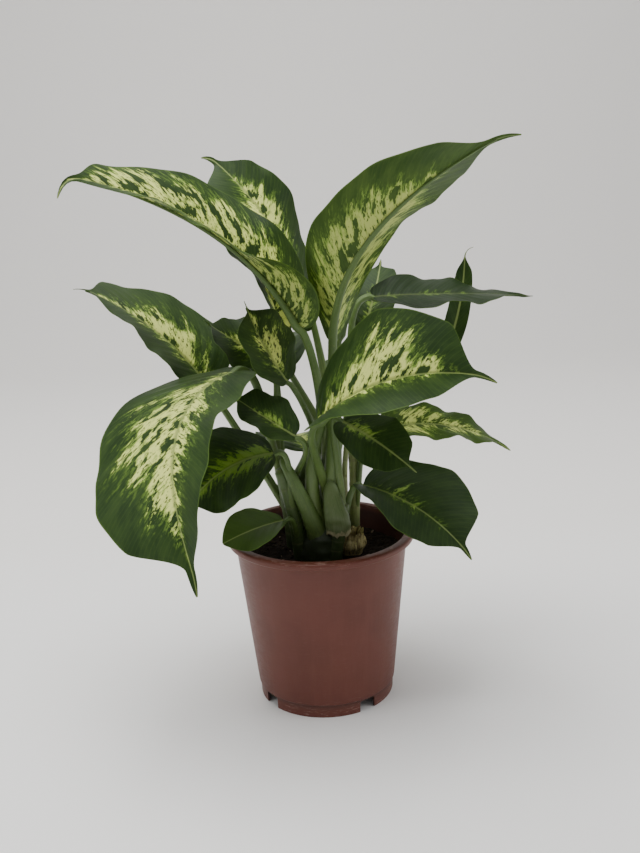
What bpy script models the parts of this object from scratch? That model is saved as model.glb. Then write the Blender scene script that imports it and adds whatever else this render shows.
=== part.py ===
"""A dieffenbachia in its plastic nursery pot.

Metres, +Z up. The origin is the centre of the pot's foot, on the surface it stands on.
The front of the plant is -Y and its right-hand side is +X.

The pot holds the soil. Short stems stand in plain holes in the soil, and every leaf is one
piece: a stalk that grows from a stem, and a thin blade that is folded along its midrib.
"""
import math
from dataclasses import dataclass

import bmesh
import bpy
import numpy as np
from mathutils import Vector

# --- Driving dimensions, in metres -------------------------------------------------------
GAP = 0.0003                # clearance between pieces that touch on the real plant

POT_HEIGHT = 0.110
RIM_RADIUS = 0.060          # outside of the rolled rim
RIM_THICKNESS = 0.0046
RIM_ROUNDING = 0.0016
BODY_TOP_RADIUS = 0.0552    # outside of the wall, just under the rim
BODY_BASE_RADIUS = 0.0450   # outside of the wall, at the step above the foot
FOOT_RADIUS = 0.0438        # the skirt the pot stands on
FOOT_HEIGHT = 0.0088
WALL = 0.0014
FLOOR_THICKNESS = 0.0016
EASE = 0.0006               # small slopes at the rim, the floor and the step above the foot
NOTCH_WIDTH = 0.0115        # gaps in the foot, where water runs out
NOTCH_TOP = 0.0076
NOTCH_TURNS = (-55, 35, 125, 215)      # degrees round the foot, from the front
DRAIN_RADIUS = 0.0035
DRAIN_CIRCLE = 0.028
DRAIN_COUNT = 6
DRAIN_SIDES = 12
POT_SIDES = 48

SOIL_BELOW_RIM = 0.016
SOIL_BUMP = 0.0014
SOIL_SIDES = 32
SOIL_RINGS = 4

BLADE_THICKNESS = 0.0008
RIB_THICKNESS = 0.0022      # the midrib, at the stalk
STALK_RADIUS = 0.0014       # where the stalk meets the blade, for a blade of no length
STALK_GROWTH = 0.0075       # what each metre of blade adds to that radius
SHEATH_SWELL = 1.7          # how much fatter the stalk is where it clasps the stem
SHEATH_LIMIT = 0.85         # but never more than this share of the stem's top radius
STALK_RINGS = 7
ACROSS = (-1.0, -0.5, 0.0, 0.5, 1.0)       # places across a blade, edge to edge
ALONG = (0.012, 0.045, 0.10, 0.18, 0.28, 0.39, 0.50, 0.61, 0.71, 0.80, 0.87, 0.925, 0.96, 0.99)
DRIP_WIDTH = 0.075          # width of the drip tip, as a share of the blade's at its widest
MIDRIB_STEPS = 48
STEM_SIDES = 10


# --- Where each stem runs and each leaf is held -------------------------------------------
@dataclass
class Stem:
    """A cane: the places it passes through, from under the soil up, and its two radii."""
    name: str
    path: tuple
    radii: tuple


STEMS = (
    Stem("stem_main", ((-0.001, 0.000, 0.052), (0.000, 0.000, 0.094), (0.006, -0.001, 0.140),
                       (0.009, -0.002, 0.185)), (0.0078, 0.0048)),
    Stem("stem_left", ((-0.0125, -0.006, 0.052), (-0.013, -0.006, 0.094), (-0.017, -0.008, 0.125),
                       (-0.024, -0.010, 0.155)), (0.0056, 0.0038)),
    Stem("stem_right", ((0.022, 0.015, 0.052), (0.022, 0.014, 0.094), (0.023, 0.012, 0.130),
                        (0.023, 0.010, 0.172)), (0.0040, 0.0030)),
    Stem("stem_front", ((0.007, -0.0135, 0.052), (0.0075, -0.0135, 0.094), (0.011, -0.0135, 0.112),
                        (0.0145, -0.013, 0.132)), (0.0060, 0.0042)),
    Stem("stem_back_left", ((-0.017, 0.013, 0.052), (-0.018, 0.013, 0.094), (-0.021, 0.013, 0.125),
                            (-0.026, 0.012, 0.160)), (0.0054, 0.0038)),
    Stem("stem_back", ((0.005, 0.021, 0.052), (0.005, 0.022, 0.094), (0.007, 0.024, 0.145),
                       (0.009, 0.026, 0.195)), (0.0058, 0.0042)),
)


@dataclass
class Leaf:
    """One leaf. Pairs of angles, in degrees, are at the blade's base and at its tip."""
    name: str
    stem: str           # the stem it grows from
    height: float       # where on the stem
    base: tuple         # where the stalk meets the blade
    heading: tuple      # the midrib's direction in plan, anticlockwise from +X
    pitch: tuple        # the midrib's climb
    roll: tuple         # turn about the midrib: positive lowers the right-hand half
    fold: tuple         # how far each half rises from the midrib
    length: float
    half_width: float
    bend: float = 1.0   # below 1 the pitch changes early along the blade
    twist_end: float = 0.9      # share of the blade over which the roll changes
    hook: float = 0.0   # extra droop of the drip tip
    skew: float = 0.0   # how much wider the right-hand half is
    lobe: float = 0.12  # how far the two lobes reach behind the stalk
    tip: float = 0.92   # how sharply the blade narrows to its drip tip, 0 for a blunt blade
    wave: float = 0.0015
    waves: float = 2.5
    phase: float = 0.0


LEAVES = (
    Leaf("leaf_top_left", "stem_main", 0.150, (-0.0064, -0.012, 0.2428), (137, 247), (56, 3),
         (48, -27), (61, 8), 0.193, 0.037, twist_end=0.32, hook=64, wave=0.002, waves=3, phase=0.2,
         bend=1.1, skew=-0.14),
    Leaf("leaf_top_left_rear", "stem_back", 0.160, (-0.0224, 0.04, 0.2316), (159, 152), (92, 23),
         (3, -5), (31, 11), 0.083, 0.0271),
    Leaf("leaf_top_centre", "stem_back", 0.192, (-0.005, 0.040, 0.261), (159, 150), (70, 34),
         (14, -34), (14, 8), 0.114, 0.031, hook=35, wave=0.002, phase=0.5),
    Leaf("leaf_top_right", "stem_main", 0.180, (0.0122, -0.006, 0.2346), (-79, 9), (76, 24),
         (-14, -28), (68, -1), 0.179, 0.0427, hook=26, waves=3, bend=0.58, twist_end=1, skew=-0.19),
    Leaf("leaf_top_right_rear", "stem_back", 0.174, (0.018, 0.044, 0.228), (22, 12), (76, 58),
         (-10, 10), (15, 10), 0.088, 0.022, waves=3.5, phase=0.3),
    Leaf("leaf_rear_tip", "stem_back", 0.158, (0.034, 0.054, 0.228), (60, 80), (50, 34), (8, -6),
         (12, 8), 0.066, 0.018),
    Leaf("leaf_right_upper", "stem_right", 0.160, (0.040, 0.022, 0.256), (7, 12), (1, -8), (20, 3),
         (10, 0), 0.1065, 0.026, wave=0.002, waves=3, phase=0.6),
    Leaf("leaf_right_front", "stem_main", 0.128, (0.001, -0.038, 0.1909), (-43, -22), (42, -11),
         (33, 51), (28, 35), 0.123, 0.040, skew=-0.09, bend=1.1, twist_end=0.75, hook=17),
    Leaf("leaf_right_rear", "stem_right", 0.154, (0.0845, 0.058, 0.200), (12, 20), (62, 92),
         (66, 70), (14, 10), 0.088, 0.0078, hook=85),
    Leaf("leaf_right_middle", "stem_right", 0.116, (0.040, 0.004, 0.174), (4, 3), (12, -38),
         (27, 12), (12, 5), 0.090, 0.018, wave=0.002, waves=3.5),
    Leaf("leaf_small_front", "stem_front", 0.124, (0.016, -0.022, 0.187), (-48, -43), (-12, -30),
         (16, 50), (14, 10), 0.062, 0.018),
    Leaf("leaf_right_low", "stem_front", 0.106, (0.0274, -0.014, 0.1429), (-36, -52), (-2, -37),
         (7, 18), (35, 13), 0.089, 0.033, twist_end=0.76, hook=10, skew=-0.03),
    Leaf("leaf_left_upper", "stem_back_left", 0.118, (-0.0703, 0.0325, 0.2016), (163, 219),
         (56, 26), (-19, -17), (21, -3), 0.109, 0.040, skew=0.17, waves=3, phase=0.4, hook=24),
    Leaf("leaf_left_front", "stem_back_left", 0.146, (-0.0483, -0.02, 0.2204), (214, 324),
         (-6, -73), (0, 74), (-11, 32), 0.157, 0.047, skew=0.26, bend=0.7, lobe=0.28, wave=0.0025,
         waves=3, twist_end=1, hook=12),
    Leaf("leaf_left_low", "stem_left", 0.118, (-0.027, -0.019, 0.168), (193, 195), (0, -60),
         (-18, -36), (8, 10), 0.070, 0.033, lobe=0.05),
    Leaf("leaf_left_middle", "stem_back_left", 0.126, (-0.013, -0.028, 0.1805), (177, 172),
         (34, 36), (-20, -18), (18, 10), 0.047, 0.022),
    Leaf("leaf_left_rear", "stem_back_left", 0.154, (-0.034, 0.028, 0.222), (189, 180), (27, 40),
         (-50, -10), (8, 6), 0.042, 0.024),
    Leaf("leaf_left_folded", "stem_back", 0.140, (-0.0165, -0.004, 0.2095), (176, 175), (55, 74),
         (-19, -27), (4, 7), 0.056, 0.0285, skew=0.13),
    Leaf("leaf_small_low", "stem_left", 0.104, (-0.023, -0.018, 0.124), (197, 198), (-5, -23),
         (0, -28), (8, 8), 0.041, 0.021, lobe=0.05, wave=0.0005, tip=0.0),
    Leaf("leaf_right_middle_rear", "stem_right", 0.142, (0.045, 0.034, 0.172), (26, 34), (-4, 4),
         (34, 6), (11, 9), 0.044, 0.017),
    Leaf("leaf_rear_left", "stem_back_left", 0.134, (-0.026, 0.0435, 0.205), (105, 90), (45, -35),
         (-10, 0), (14, 8), 0.076, 0.029),
    Leaf("leaf_rear_right", "stem_back", 0.130, (0.024, 0.050, 0.185), (75, 65), (40, -60), (10, 5),
         (14, 8), 0.074, 0.028),
    Leaf("leaf_rear_low", "stem_back", 0.112, (-0.008, 0.046, 0.150), (100, 110), (20, -50), (0, 0),
         (12, 8), 0.076, 0.029),
)

STUMP = Stem("stump", ((0.019, -0.002, 0.070), (0.0195, -0.002, 0.094), (0.0215, -0.003, 0.1105)),
             (0.0056, 0.0080))

# Colour, roughness and metallic value of each kind of piece.
FINISHES = {
    "pot": ((0.18, 0.055, 0.035), 0.45, 0.0),
    "soil": ((0.022, 0.014, 0.011), 0.95, 0.0),
    "stem": ((0.09, 0.14, 0.035), 0.5, 0.0),
    "stump": ((0.24, 0.19, 0.09), 0.9, 0.0),
    "leaf": ((0.05, 0.13, 0.035), 0.4, 0.0),
}


# --- Small helpers ------------------------------------------------------------------------
def clear_scene():
    for old in list(bpy.data.objects):
        bpy.data.objects.remove(old, do_unlink=True)


def finish(kind):
    """The one Principled material of this kind of piece."""
    name = f"{kind}_finish"
    if name in bpy.data.materials:
        return bpy.data.materials[name]
    colour, roughness, metallic = FINISHES[kind]
    material = bpy.data.materials.new(name)
    material.use_nodes = True
    shader = material.node_tree.nodes["Principled BSDF"]
    shader.inputs["Base Color"].default_value = (*colour, 1.0)
    shader.inputs["Roughness"].default_value = roughness
    shader.inputs["Metallic"].default_value = metallic
    material.diffuse_color = (*colour, 1.0)
    return material


def add_mesh(name, vertices, faces, kind, smooth_angle=40):
    mesh = bpy.data.meshes.new(name)
    mesh.from_pydata([tuple(v) for v in vertices], [], faces)
    mesh.materials.append(finish(kind))
    piece = bpy.data.objects.new(name, mesh)
    bpy.context.scene.collection.objects.link(piece)
    mesh.shade_smooth()
    mesh.set_sharp_from_angle(angle=math.radians(smooth_angle))
    return piece


def mark_as_cutter(piece):
    piece.hide_render = True
    piece.display_type = "WIRE"
    return piece


def cut(piece, cutter):
    boolean = piece.modifiers.new(f"cut_{cutter.name}", "BOOLEAN")
    boolean.operation = "DIFFERENCE"
    boolean.solver = "EXACT"
    boolean.object = cutter


def smoothstep(low, high, value):
    t = np.clip((value - low) / (high - low), 0.0, 1.0)
    return t * t * (3.0 - 2.0 * t)


def turned(name, profile, sides, kind):
    """A solid of revolution: profile is a closed (radius, height) outline, anticlockwise."""
    mesh = bpy.data.meshes.new(name)
    bm = bmesh.new()
    loop = [bm.verts.new((r, 0.0, z)) for r, z in profile]
    edges = [bm.edges.new((a, b)) for a, b in zip(loop, loop[1:] + loop[:1])]
    bmesh.ops.spin(bm, geom=loop + edges, cent=(0, 0, 0), axis=(0, 0, 1),
                   angle=math.tau, steps=sides, use_merge=True)
    bmesh.ops.remove_doubles(bm, verts=bm.verts, dist=1e-6)
    bmesh.ops.recalc_face_normals(bm, faces=bm.faces)
    bm.to_mesh(mesh)
    bm.free()
    mesh.materials.append(finish(kind))
    piece = bpy.data.objects.new(name, mesh)
    bpy.context.scene.collection.objects.link(piece)
    mesh.shade_smooth()
    mesh.set_sharp_from_angle(angle=math.radians(40))
    return piece


def arc(centre, radius, start, end, steps):
    """Points on an arc of a profile, angles in degrees."""
    angles = np.radians(np.linspace(start, end, steps))
    return [(centre[0] + radius * math.cos(a), centre[1] + radius * math.sin(a)) for a in angles]


# --- The pot ------------------------------------------------------------------------------
def outer_wall_radius(height):
    """Outside of the tapering wall, from the step above the foot to the rim."""
    share = (height - FOOT_HEIGHT) / (POT_HEIGHT - RIM_THICKNESS - FOOT_HEIGHT)
    return BODY_BASE_RADIUS + (BODY_TOP_RADIUS - BODY_BASE_RADIUS) * share


def pot_profile():
    rim_under = POT_HEIGHT - RIM_THICKNESS
    bead = RIM_ROUNDING
    edge = RIM_RADIUS - bead
    outside = [(FOOT_RADIUS - WALL, 0.0), (FOOT_RADIUS, 0.0), (FOOT_RADIUS + EASE / 2, FOOT_HEIGHT),
               (BODY_BASE_RADIUS, FOOT_HEIGHT + EASE), (BODY_TOP_RADIUS, rim_under)]
    rim = (arc((edge, rim_under + bead), bead, -90, 0, 4)
           + arc((edge, POT_HEIGHT - bead), bead, 0, 90, 4))
    inner_rim = outer_wall_radius(POT_HEIGHT) - WALL
    floor_top = FOOT_HEIGHT + FLOOR_THICKNESS
    flat_floor = DRAIN_CIRCLE + 3 * DRAIN_RADIUS
    inside = [(inner_rim + EASE, POT_HEIGHT), (inner_rim, POT_HEIGHT - EASE),
              (outer_wall_radius(floor_top) - WALL, floor_top + EASE),
              (flat_floor, floor_top), (0.0, floor_top), (0.0, FOOT_HEIGHT),
              (FOOT_RADIUS - WALL, FOOT_HEIGHT)]
    return outside + rim + inside


def notch_cutter():
    """Blocks that open the foot's skirt, joined in one cutter."""
    vertices, faces = [], []
    inside, beyond = FOOT_RADIUS - 6 * WALL, FOOT_RADIUS + 6 * WALL
    for turn in NOTCH_TURNS:
        across = math.radians(turn - 90)
        out = Vector((math.cos(across), math.sin(across), 0))
        side = Vector((-math.sin(across), math.cos(across), 0))
        start = len(vertices)
        for height in (-WALL, NOTCH_TOP):
            for reach, half in ((inside, -1), (beyond, -1), (beyond, 1), (inside, 1)):
                point = out * reach + side * (half * NOTCH_WIDTH / 2)
                vertices.append((point.x, point.y, height))
        low = [start, start + 1, start + 2, start + 3]
        high = [i + 4 for i in low]
        faces += [low[::-1], high]
        faces += [(low[i], low[(i + 1) % 4], high[(i + 1) % 4], high[i]) for i in range(4)]
    return mark_as_cutter(add_mesh("cutter_notches", vertices, faces, "pot"))


def drain_cutter():
    """Round pegs that open the drain holes in the floor."""
    vertices, faces, sides = [], [], DRAIN_SIDES
    for hole in range(DRAIN_COUNT):
        turn = math.tau * (hole + 0.5) / DRAIN_COUNT
        centre = Vector((DRAIN_CIRCLE * math.cos(turn), DRAIN_CIRCLE * math.sin(turn), 0))
        start = len(vertices)
        for height in (FOOT_HEIGHT - FLOOR_THICKNESS, FOOT_HEIGHT + 2 * FLOOR_THICKNESS):
            for k in range(sides):
                a = math.tau * k / sides
                vertices.append((centre.x + DRAIN_RADIUS * math.cos(a),
                                 centre.y + DRAIN_RADIUS * math.sin(a), height))
        low = [start + k for k in range(sides)]
        high = [i + sides for i in low]
        faces += [low[::-1], high]
        faces += [(low[k], low[(k + 1) % sides], high[(k + 1) % sides], high[k])
                  for k in range(sides)]
    return mark_as_cutter(add_mesh("cutter_drains", vertices, faces, "pot"))


def make_pot():
    pot = turned("pot", pot_profile(), POT_SIDES, "pot")
    cut(pot, notch_cutter())
    cut(pot, drain_cutter())
    return pot


# --- Tubes: stems and the stump -----------------------------------------------------------
def curve_through(points, steps):
    """A smooth Catmull-Rom curve through the points."""
    p = [np.array(q, float) for q in points]
    p = [2 * p[0] - p[1]] + p + [2 * p[-1] - p[-2]]
    out = []
    for i in range(1, len(p) - 2):
        for t in np.linspace(0, 1, steps, endpoint=False):
            out.append(0.5 * (2 * p[i] + (p[i + 1] - p[i - 1]) * t
                              + (2 * p[i - 1] - 5 * p[i] + 4 * p[i + 1] - p[i + 2]) * t ** 2
                              + (3 * p[i] - p[i - 1] - 3 * p[i + 1] + p[i + 2]) * t ** 3))
    out.append(p[-2])
    return np.array(out)


def tube(name, points, radii, kind, sides=STEM_SIDES):
    """A closed tube round level rings, for a cane that stands nearly upright."""
    turns = np.linspace(0, math.tau, sides, endpoint=False)
    vertices = [(c[0] + r * math.cos(a), c[1] + r * math.sin(a), c[2])
                for c, r in zip(points, radii) for a in turns]
    faces = [tuple(range(sides))[::-1]]
    for ring in range(len(points) - 1):
        for k in range(sides):
            a, b = ring * sides + k, ring * sides + (k + 1) % sides
            faces.append((a, b, b + sides, a + sides))
    faces.append(tuple((len(points) - 1) * sides + k for k in range(sides)))
    return add_mesh(name, vertices, faces, kind)


def make_stem(stem, kind="stem"):
    """The cane, and a slightly fatter cutter that keeps its neighbours clear of it."""
    points = curve_through(stem.path, 3)
    low, high = stem.radii
    radii = low + (high - low) * np.linspace(0, 1, len(points))
    cane = tube(stem.name, points, radii, kind)
    longer = points.copy()
    longer[0, 2] -= GAP
    longer[-1, 2] += GAP
    cutter = tube(f"cutter_{stem.name}", longer, radii + GAP / math.cos(math.pi / STEM_SIDES), kind)
    return cane, mark_as_cutter(cutter)


# --- The soil -----------------------------------------------------------------------------
def make_soil(cutters):
    """The soil fills the pot. Its top is slightly lumpy, and the stems stand in holes in it."""
    floor = FOOT_HEIGHT + FLOOR_THICKNESS + EASE + GAP
    top = POT_HEIGHT - SOIL_BELOW_RIM
    clear = WALL + 2 * GAP
    chance = np.random.default_rng(7)
    vertices = [(0.0, 0.0, floor)]
    turns = np.linspace(0, math.tau, SOIL_SIDES, endpoint=False)
    for radius, height in ((outer_wall_radius(floor) - clear, floor),
                           (outer_wall_radius(top) - clear, top)):
        vertices += [(radius * math.cos(a), radius * math.sin(a), height) for a in turns]
    for ring in range(1, SOIL_RINGS):
        radius = (outer_wall_radius(top) - clear) * (1 - ring / SOIL_RINGS)
        for a in turns[::1 + ring // 3]:
            lift = SOIL_BUMP * chance.uniform(-1, 1)
            vertices.append((radius * math.cos(a), radius * math.sin(a), top + lift))
    n = SOIL_SIDES
    faces = [(0, 1 + (k + 1) % n, 1 + k) for k in range(n)]
    faces += [(1 + k, 1 + (k + 1) % n, 1 + n + (k + 1) % n, 1 + n + k) for k in range(n)]
    rings, start = [list(range(1 + n, 1 + 2 * n))], 1 + 2 * n
    for ring in range(1, SOIL_RINGS):
        count = len(turns[::1 + ring // 3])
        rings.append(list(range(start, start + count)))
        start += count
    for outer, inner in zip(rings, rings[1:]):
        faces += strip_between(outer, inner)
    vertices.append((0.0, 0.0, top))
    last = rings[-1]
    faces += [(last[k], last[(k + 1) % len(last)], len(vertices) - 1) for k in range(len(last))]
    soil = add_mesh("soil", vertices, faces, "soil")
    for cutter in cutters:
        cut(soil, cutter)
    return soil


def strip_between(outer, inner):
    """Triangles between two rings, where the inner has as many points or half as many."""
    n, step = len(outer), len(outer) // len(inner)
    faces = []
    for k in range(len(inner)):
        a, b = inner[k], inner[(k + 1) % len(inner)]
        run = [outer[(k * step + j) % n] for j in range(step + 1)]
        faces += [(run[j], run[j + 1], a) for j in range(step)]
        faces.append((run[-1], b, a))
    return faces


# --- Leaves -------------------------------------------------------------------------------
def blade_outline(share, lobe, tip):
    """Outline of a flat blade: place along the midrib and half-width, both from 0 to 1."""
    along = share - lobe * 2.2 * np.sqrt(share) * np.exp(-share / 0.12)
    across = (share / 0.41) ** 0.55 * ((1.0 - share) / 0.59) ** 0.8
    drip_tip = DRIP_WIDTH * smoothstep(0.77, 0.88, share) * np.sqrt(1.0 - share)
    return along, across + tip * (drip_tip - across * smoothstep(0.77, 0.90, share))


def midrib(leaf):
    """Points of the midrib, with its direction, right-hand side and upper side."""
    s = np.linspace(0.0, 1.0, MIDRIB_STEPS + 1)
    pitch = leaf.pitch[0] + (leaf.pitch[1] - leaf.pitch[0]) * s ** leaf.bend
    pitch = np.radians(pitch - leaf.hook * smoothstep(0.86, 1.0, s))
    heading = np.radians(leaf.heading[0] + (leaf.heading[1] - leaf.heading[0]) * s)
    forward = np.stack([np.cos(pitch) * np.cos(heading), np.cos(pitch) * np.sin(heading),
                        np.sin(pitch)], axis=-1)
    steps = (forward[1:] + forward[:-1]) / 2 * (leaf.length / MIDRIB_STEPS)
    points = np.array(leaf.base) + np.concatenate([np.zeros((1, 3)), np.cumsum(steps, axis=0)])
    level = np.stack([np.sin(heading), -np.cos(heading), 0 * heading], axis=-1)
    above = np.cross(level, forward)
    roll = np.radians(leaf.roll[0] + (leaf.roll[1] - leaf.roll[0]) * smoothstep(0.0, leaf.twist_end, s))
    c, d = np.cos(roll)[:, None], np.sin(roll)[:, None]
    return s, points, forward, c * level - d * above, c * above + d * level


def blade_point(leaf, rib, share, across):
    """A place on the blade's upper side, and the step that makes the blade 1 m thick there.

    share runs from 0 at the stalk to 1 at the tip. across runs from -1 at the left-hand edge
    to 1 at the right-hand edge, along a side vein that curves forward."""
    s, points, forward, right, above = rib
    along, width = blade_outline(share, leaf.lobe, leaf.tip)
    root = share ** 1.25
    out = abs(across)
    place = root + (along - root) * out ** 1.5
    inside = min(max(place, 0.0), 1.0)

    def at(values):
        return np.array([np.interp(inside, s, values[:, axis]) for axis in range(3)])

    level = leaf.half_width * width * across * (1.0 + leaf.skew * np.sign(across))
    fold = math.radians(leaf.fold[0] + (leaf.fold[1] - leaf.fold[0]) * inside)
    rise = abs(level) * math.sin(fold) * (1.0 - 0.25 * out)
    ripple = math.sin(math.tau * (leaf.waves * share + leaf.phase + 0.37 * (across > 0)))
    rise += leaf.wave * out ** 2 * ripple * math.sqrt(math.sin(math.pi * share))
    point = at(points) + at(forward) * ((place - inside) * leaf.length)
    point = point + at(right) * (level * math.cos(fold)) + at(above) * rise
    return point, at(above) / math.cos(fold)


def blade_rings(leaf, rib):
    """Closed rings round the blade: the upper side left to right, then the underside back."""
    rings = []
    for share in ALONG:
        keel = (RIB_THICKNESS - BLADE_THICKNESS) * (1.0 - share) ** 1.2
        top, under = [], []
        for across in ACROSS:
            point, above = blade_point(leaf, rib, share, across)
            depth = BLADE_THICKNESS + keel * (across == 0)
            top.append(point)
            under.append(point - above * depth)
        rings.append(top + under[::-1])
    return rings


def stem_of(leaf):
    return next(stem for stem in STEMS if stem.name == leaf.stem)


def stem_point(stem, height):
    """Centre and direction of a stem at a height."""
    path = curve_through(stem.path, 6)
    centre = np.array([np.interp(height, path[:, 2], path[:, axis]) for axis in range(3)])
    ahead = np.array([np.interp(height + 0.004, path[:, 2], path[:, axis]) for axis in range(3)])
    behind = np.array([np.interp(height - 0.004, path[:, 2], path[:, axis]) for axis in range(3)])
    direction = ahead - behind
    return centre, direction / np.linalg.norm(direction)


def stalk_curve(leaf, rib, count):
    """The stalk's centre line, from inside its stem to just behind the blade."""
    start, up = stem_point(stem_of(leaf), leaf.height)
    forward = rib[2][0]
    end = np.array(leaf.base) - forward * 0.003
    reach = np.linalg.norm(end - start)
    outward = (end - start) / reach
    first = up + 1.2 * outward * (1, 1, 0.3)
    first /= np.linalg.norm(first)
    p1, p2 = start + first * reach * 0.35, end - forward * reach * 0.22
    t = np.linspace(0.0, 1.0, count)[:, None]
    return ((1 - t) ** 3 * start + 3 * (1 - t) ** 2 * t * p1 + 3 * (1 - t) * t ** 2 * p2
            + t ** 3 * end)


def stalk_rings(leaf, rib):
    """Rings of the stalk, with the same number of points as the blade's rings."""
    points = stalk_curve(leaf, rib, STALK_RINGS)
    forward = np.gradient(points, axis=0)
    forward /= np.linalg.norm(forward, axis=1)[:, None]
    right = rib[3][0] - forward[-1] * np.dot(rib[3][0], forward[-1])
    frames = []
    for direction in forward[::-1]:
        right = right - direction * np.dot(right, direction)
        right /= np.linalg.norm(right)
        frames.append((right, np.cross(right, direction)))
    frames.reverse()
    slim = STALK_RADIUS + STALK_GROWTH * leaf.length
    clasp = min(slim * SHEATH_SWELL, stem_of(leaf).radii[1] * SHEATH_LIMIT)
    half = len(ACROSS)
    angles = np.concatenate([np.linspace(167, 13, half), np.linspace(-13, -167, half)])
    rings = []
    for i, (point, (side, above)) in enumerate(zip(points, frames)):
        share = i / (STALK_RINGS - 1)
        radius = slim + (clasp - slim) * (1.0 - share) ** 2
        rings.append([point + radius * (math.cos(a) * side + math.sin(a) * above)
                      for a in np.radians(angles)])
    return rings


def loft_faces(ring_count, half):
    """Triangles between the rings. The upper and the lower side are split alike."""
    n = 2 * half
    faces = []
    for ring in range(ring_count - 1):
        a, b = ring * n, (ring + 1) * n
        for k in range(half - 1):
            faces += [(a + k, a + k + 1, b + k + 1), (a + k, b + k + 1, b + k)]
            low, back = n - 1 - k, n - 2 - k
            faces += [(a + back, a + low, b + back), (a + low, b + low, b + back)]
        for k in (half - 1, n - 1):
            nxt = (k + 1) % n
            faces += [(a + k, a + nxt, b + nxt), (a + k, b + nxt, b + k)]
    last = (ring_count - 1) * n
    for k in range(half - 1):
        low, back = n - 1 - k, n - 2 - k
        faces += [(k, low, back), (k, back, k + 1)]
        faces += [(last + k, last + back, last + low), (last + k, last + k + 1, last + back)]
    return faces


def make_leaf(leaf, cutters):
    rib = midrib(leaf)
    rings = stalk_rings(leaf, rib) + blade_rings(leaf, rib)
    vertices = [point for ring in rings for point in ring]
    piece = add_mesh(leaf.name, vertices, loft_faces(len(rings), len(ACROSS)), "leaf")
    cut(piece, cutters[leaf.stem])
    return piece


def main():
    clear_scene()
    make_pot()
    cutters = {stem.name: make_stem(stem)[1] for stem in STEMS}
    stump_cutter = make_stem(STUMP, "stump")[1]
    make_soil(list(cutters.values()) + [stump_cutter])
    for leaf in LEAVES:
        make_leaf(leaf, cutters)


main()
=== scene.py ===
# %% [markdown]
# # A potted dieffenbachia
#
# The real plant is a young, bushy dieffenbachia in the thin brown pot it was sold in. Its leaves
# are the whole show: dark green blades, each with a feathered cream centre that follows the side
# veins. This lesson dresses a finished engineering model. The frame already holds every stem and
# leaf at its real size, so here each one is made again with a fine surface in the same place.
#
# First the frame is loaded.

import math
from dataclasses import dataclass

import bmesh
import bpy
import numpy as np
from mathutils import Matrix, Vector, noise


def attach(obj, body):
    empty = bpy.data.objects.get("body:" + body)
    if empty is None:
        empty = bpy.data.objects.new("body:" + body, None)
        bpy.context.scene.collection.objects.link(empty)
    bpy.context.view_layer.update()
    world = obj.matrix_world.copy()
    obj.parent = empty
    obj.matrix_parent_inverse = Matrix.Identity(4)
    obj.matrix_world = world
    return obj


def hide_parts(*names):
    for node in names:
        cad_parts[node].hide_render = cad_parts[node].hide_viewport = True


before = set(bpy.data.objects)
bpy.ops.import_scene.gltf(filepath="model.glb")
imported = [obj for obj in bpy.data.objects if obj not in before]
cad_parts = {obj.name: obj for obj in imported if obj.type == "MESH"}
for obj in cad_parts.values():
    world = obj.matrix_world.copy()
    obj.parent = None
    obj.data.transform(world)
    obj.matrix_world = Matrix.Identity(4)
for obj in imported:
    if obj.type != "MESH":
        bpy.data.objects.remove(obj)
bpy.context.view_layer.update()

# %% [markdown]
# ## The camera
#
# The plant is looked at from slightly above its rim, with the pot standing a little right of
# the middle. A camera is placed by where it stands and by three angles. Its axes are worked out
# from those angles and put into a matrix, because that says plainly which way is forward.

# %% Place the camera
CAMERA_PLACE = Vector((0.0, -0.608, 0.336))
LOOK_DOWN, LOOK_RIGHT, TILT = math.radians(14.53), math.radians(0.216), math.radians(-2.41)

forward = Vector((math.sin(LOOK_RIGHT) * math.cos(LOOK_DOWN),
                  math.cos(LOOK_RIGHT) * math.cos(LOOK_DOWN), -math.sin(LOOK_DOWN)))
level_right = forward.cross(Vector((0, 0, 1))).normalized()
level_up = level_right.cross(forward)
camera_right = level_right * math.cos(TILT) + level_up * math.sin(TILT)
camera_up = level_up * math.cos(TILT) - level_right * math.sin(TILT)

camera_data = bpy.data.cameras.new("camera")
camera_data.lens = 42.2
camera = bpy.data.objects.new("camera", camera_data)
bpy.context.scene.collection.objects.link(camera)
turn = Matrix((camera_right, camera_up, -forward)).transposed()
camera.matrix_world = Matrix.Translation(CAMERA_PLACE) @ turn.to_4x4()
bpy.context.scene.camera = camera
print("camera looks along", [round(v, 3) for v in forward])

# %% [markdown]
# ## The room
#
# The plant stands on a pale board in front of a pale wall, in soft light that mostly falls from
# above. A sweep, a floor that bends up into a wall, gives that without a hard corner. It is one
# strip of faces: an edge is extruded step by step along the sweep's profile. The board is painted
# a shade darker farther back and up the wall, as painted shade, and paler in front, as painted
# light. Large area lights are used because a big light makes the soft-edged shadows that a bright
# room gives.

# %% Floor, wall and lights
def new_object(name, bm, materials, smooth=None):
    """Turns a bmesh into an object at the origin, shaded smooth up to an angle if one is given."""
    mesh = bpy.data.meshes.new(name)
    bm.to_mesh(mesh)
    bm.free()
    for material in materials:
        mesh.materials.append(material)
    made = bpy.data.objects.new(name, mesh)
    bpy.context.scene.collection.objects.link(made)
    if smooth is not None:
        mesh.shade_smooth()
        mesh.set_sharp_from_angle(angle=math.radians(smooth))
    return made


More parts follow.
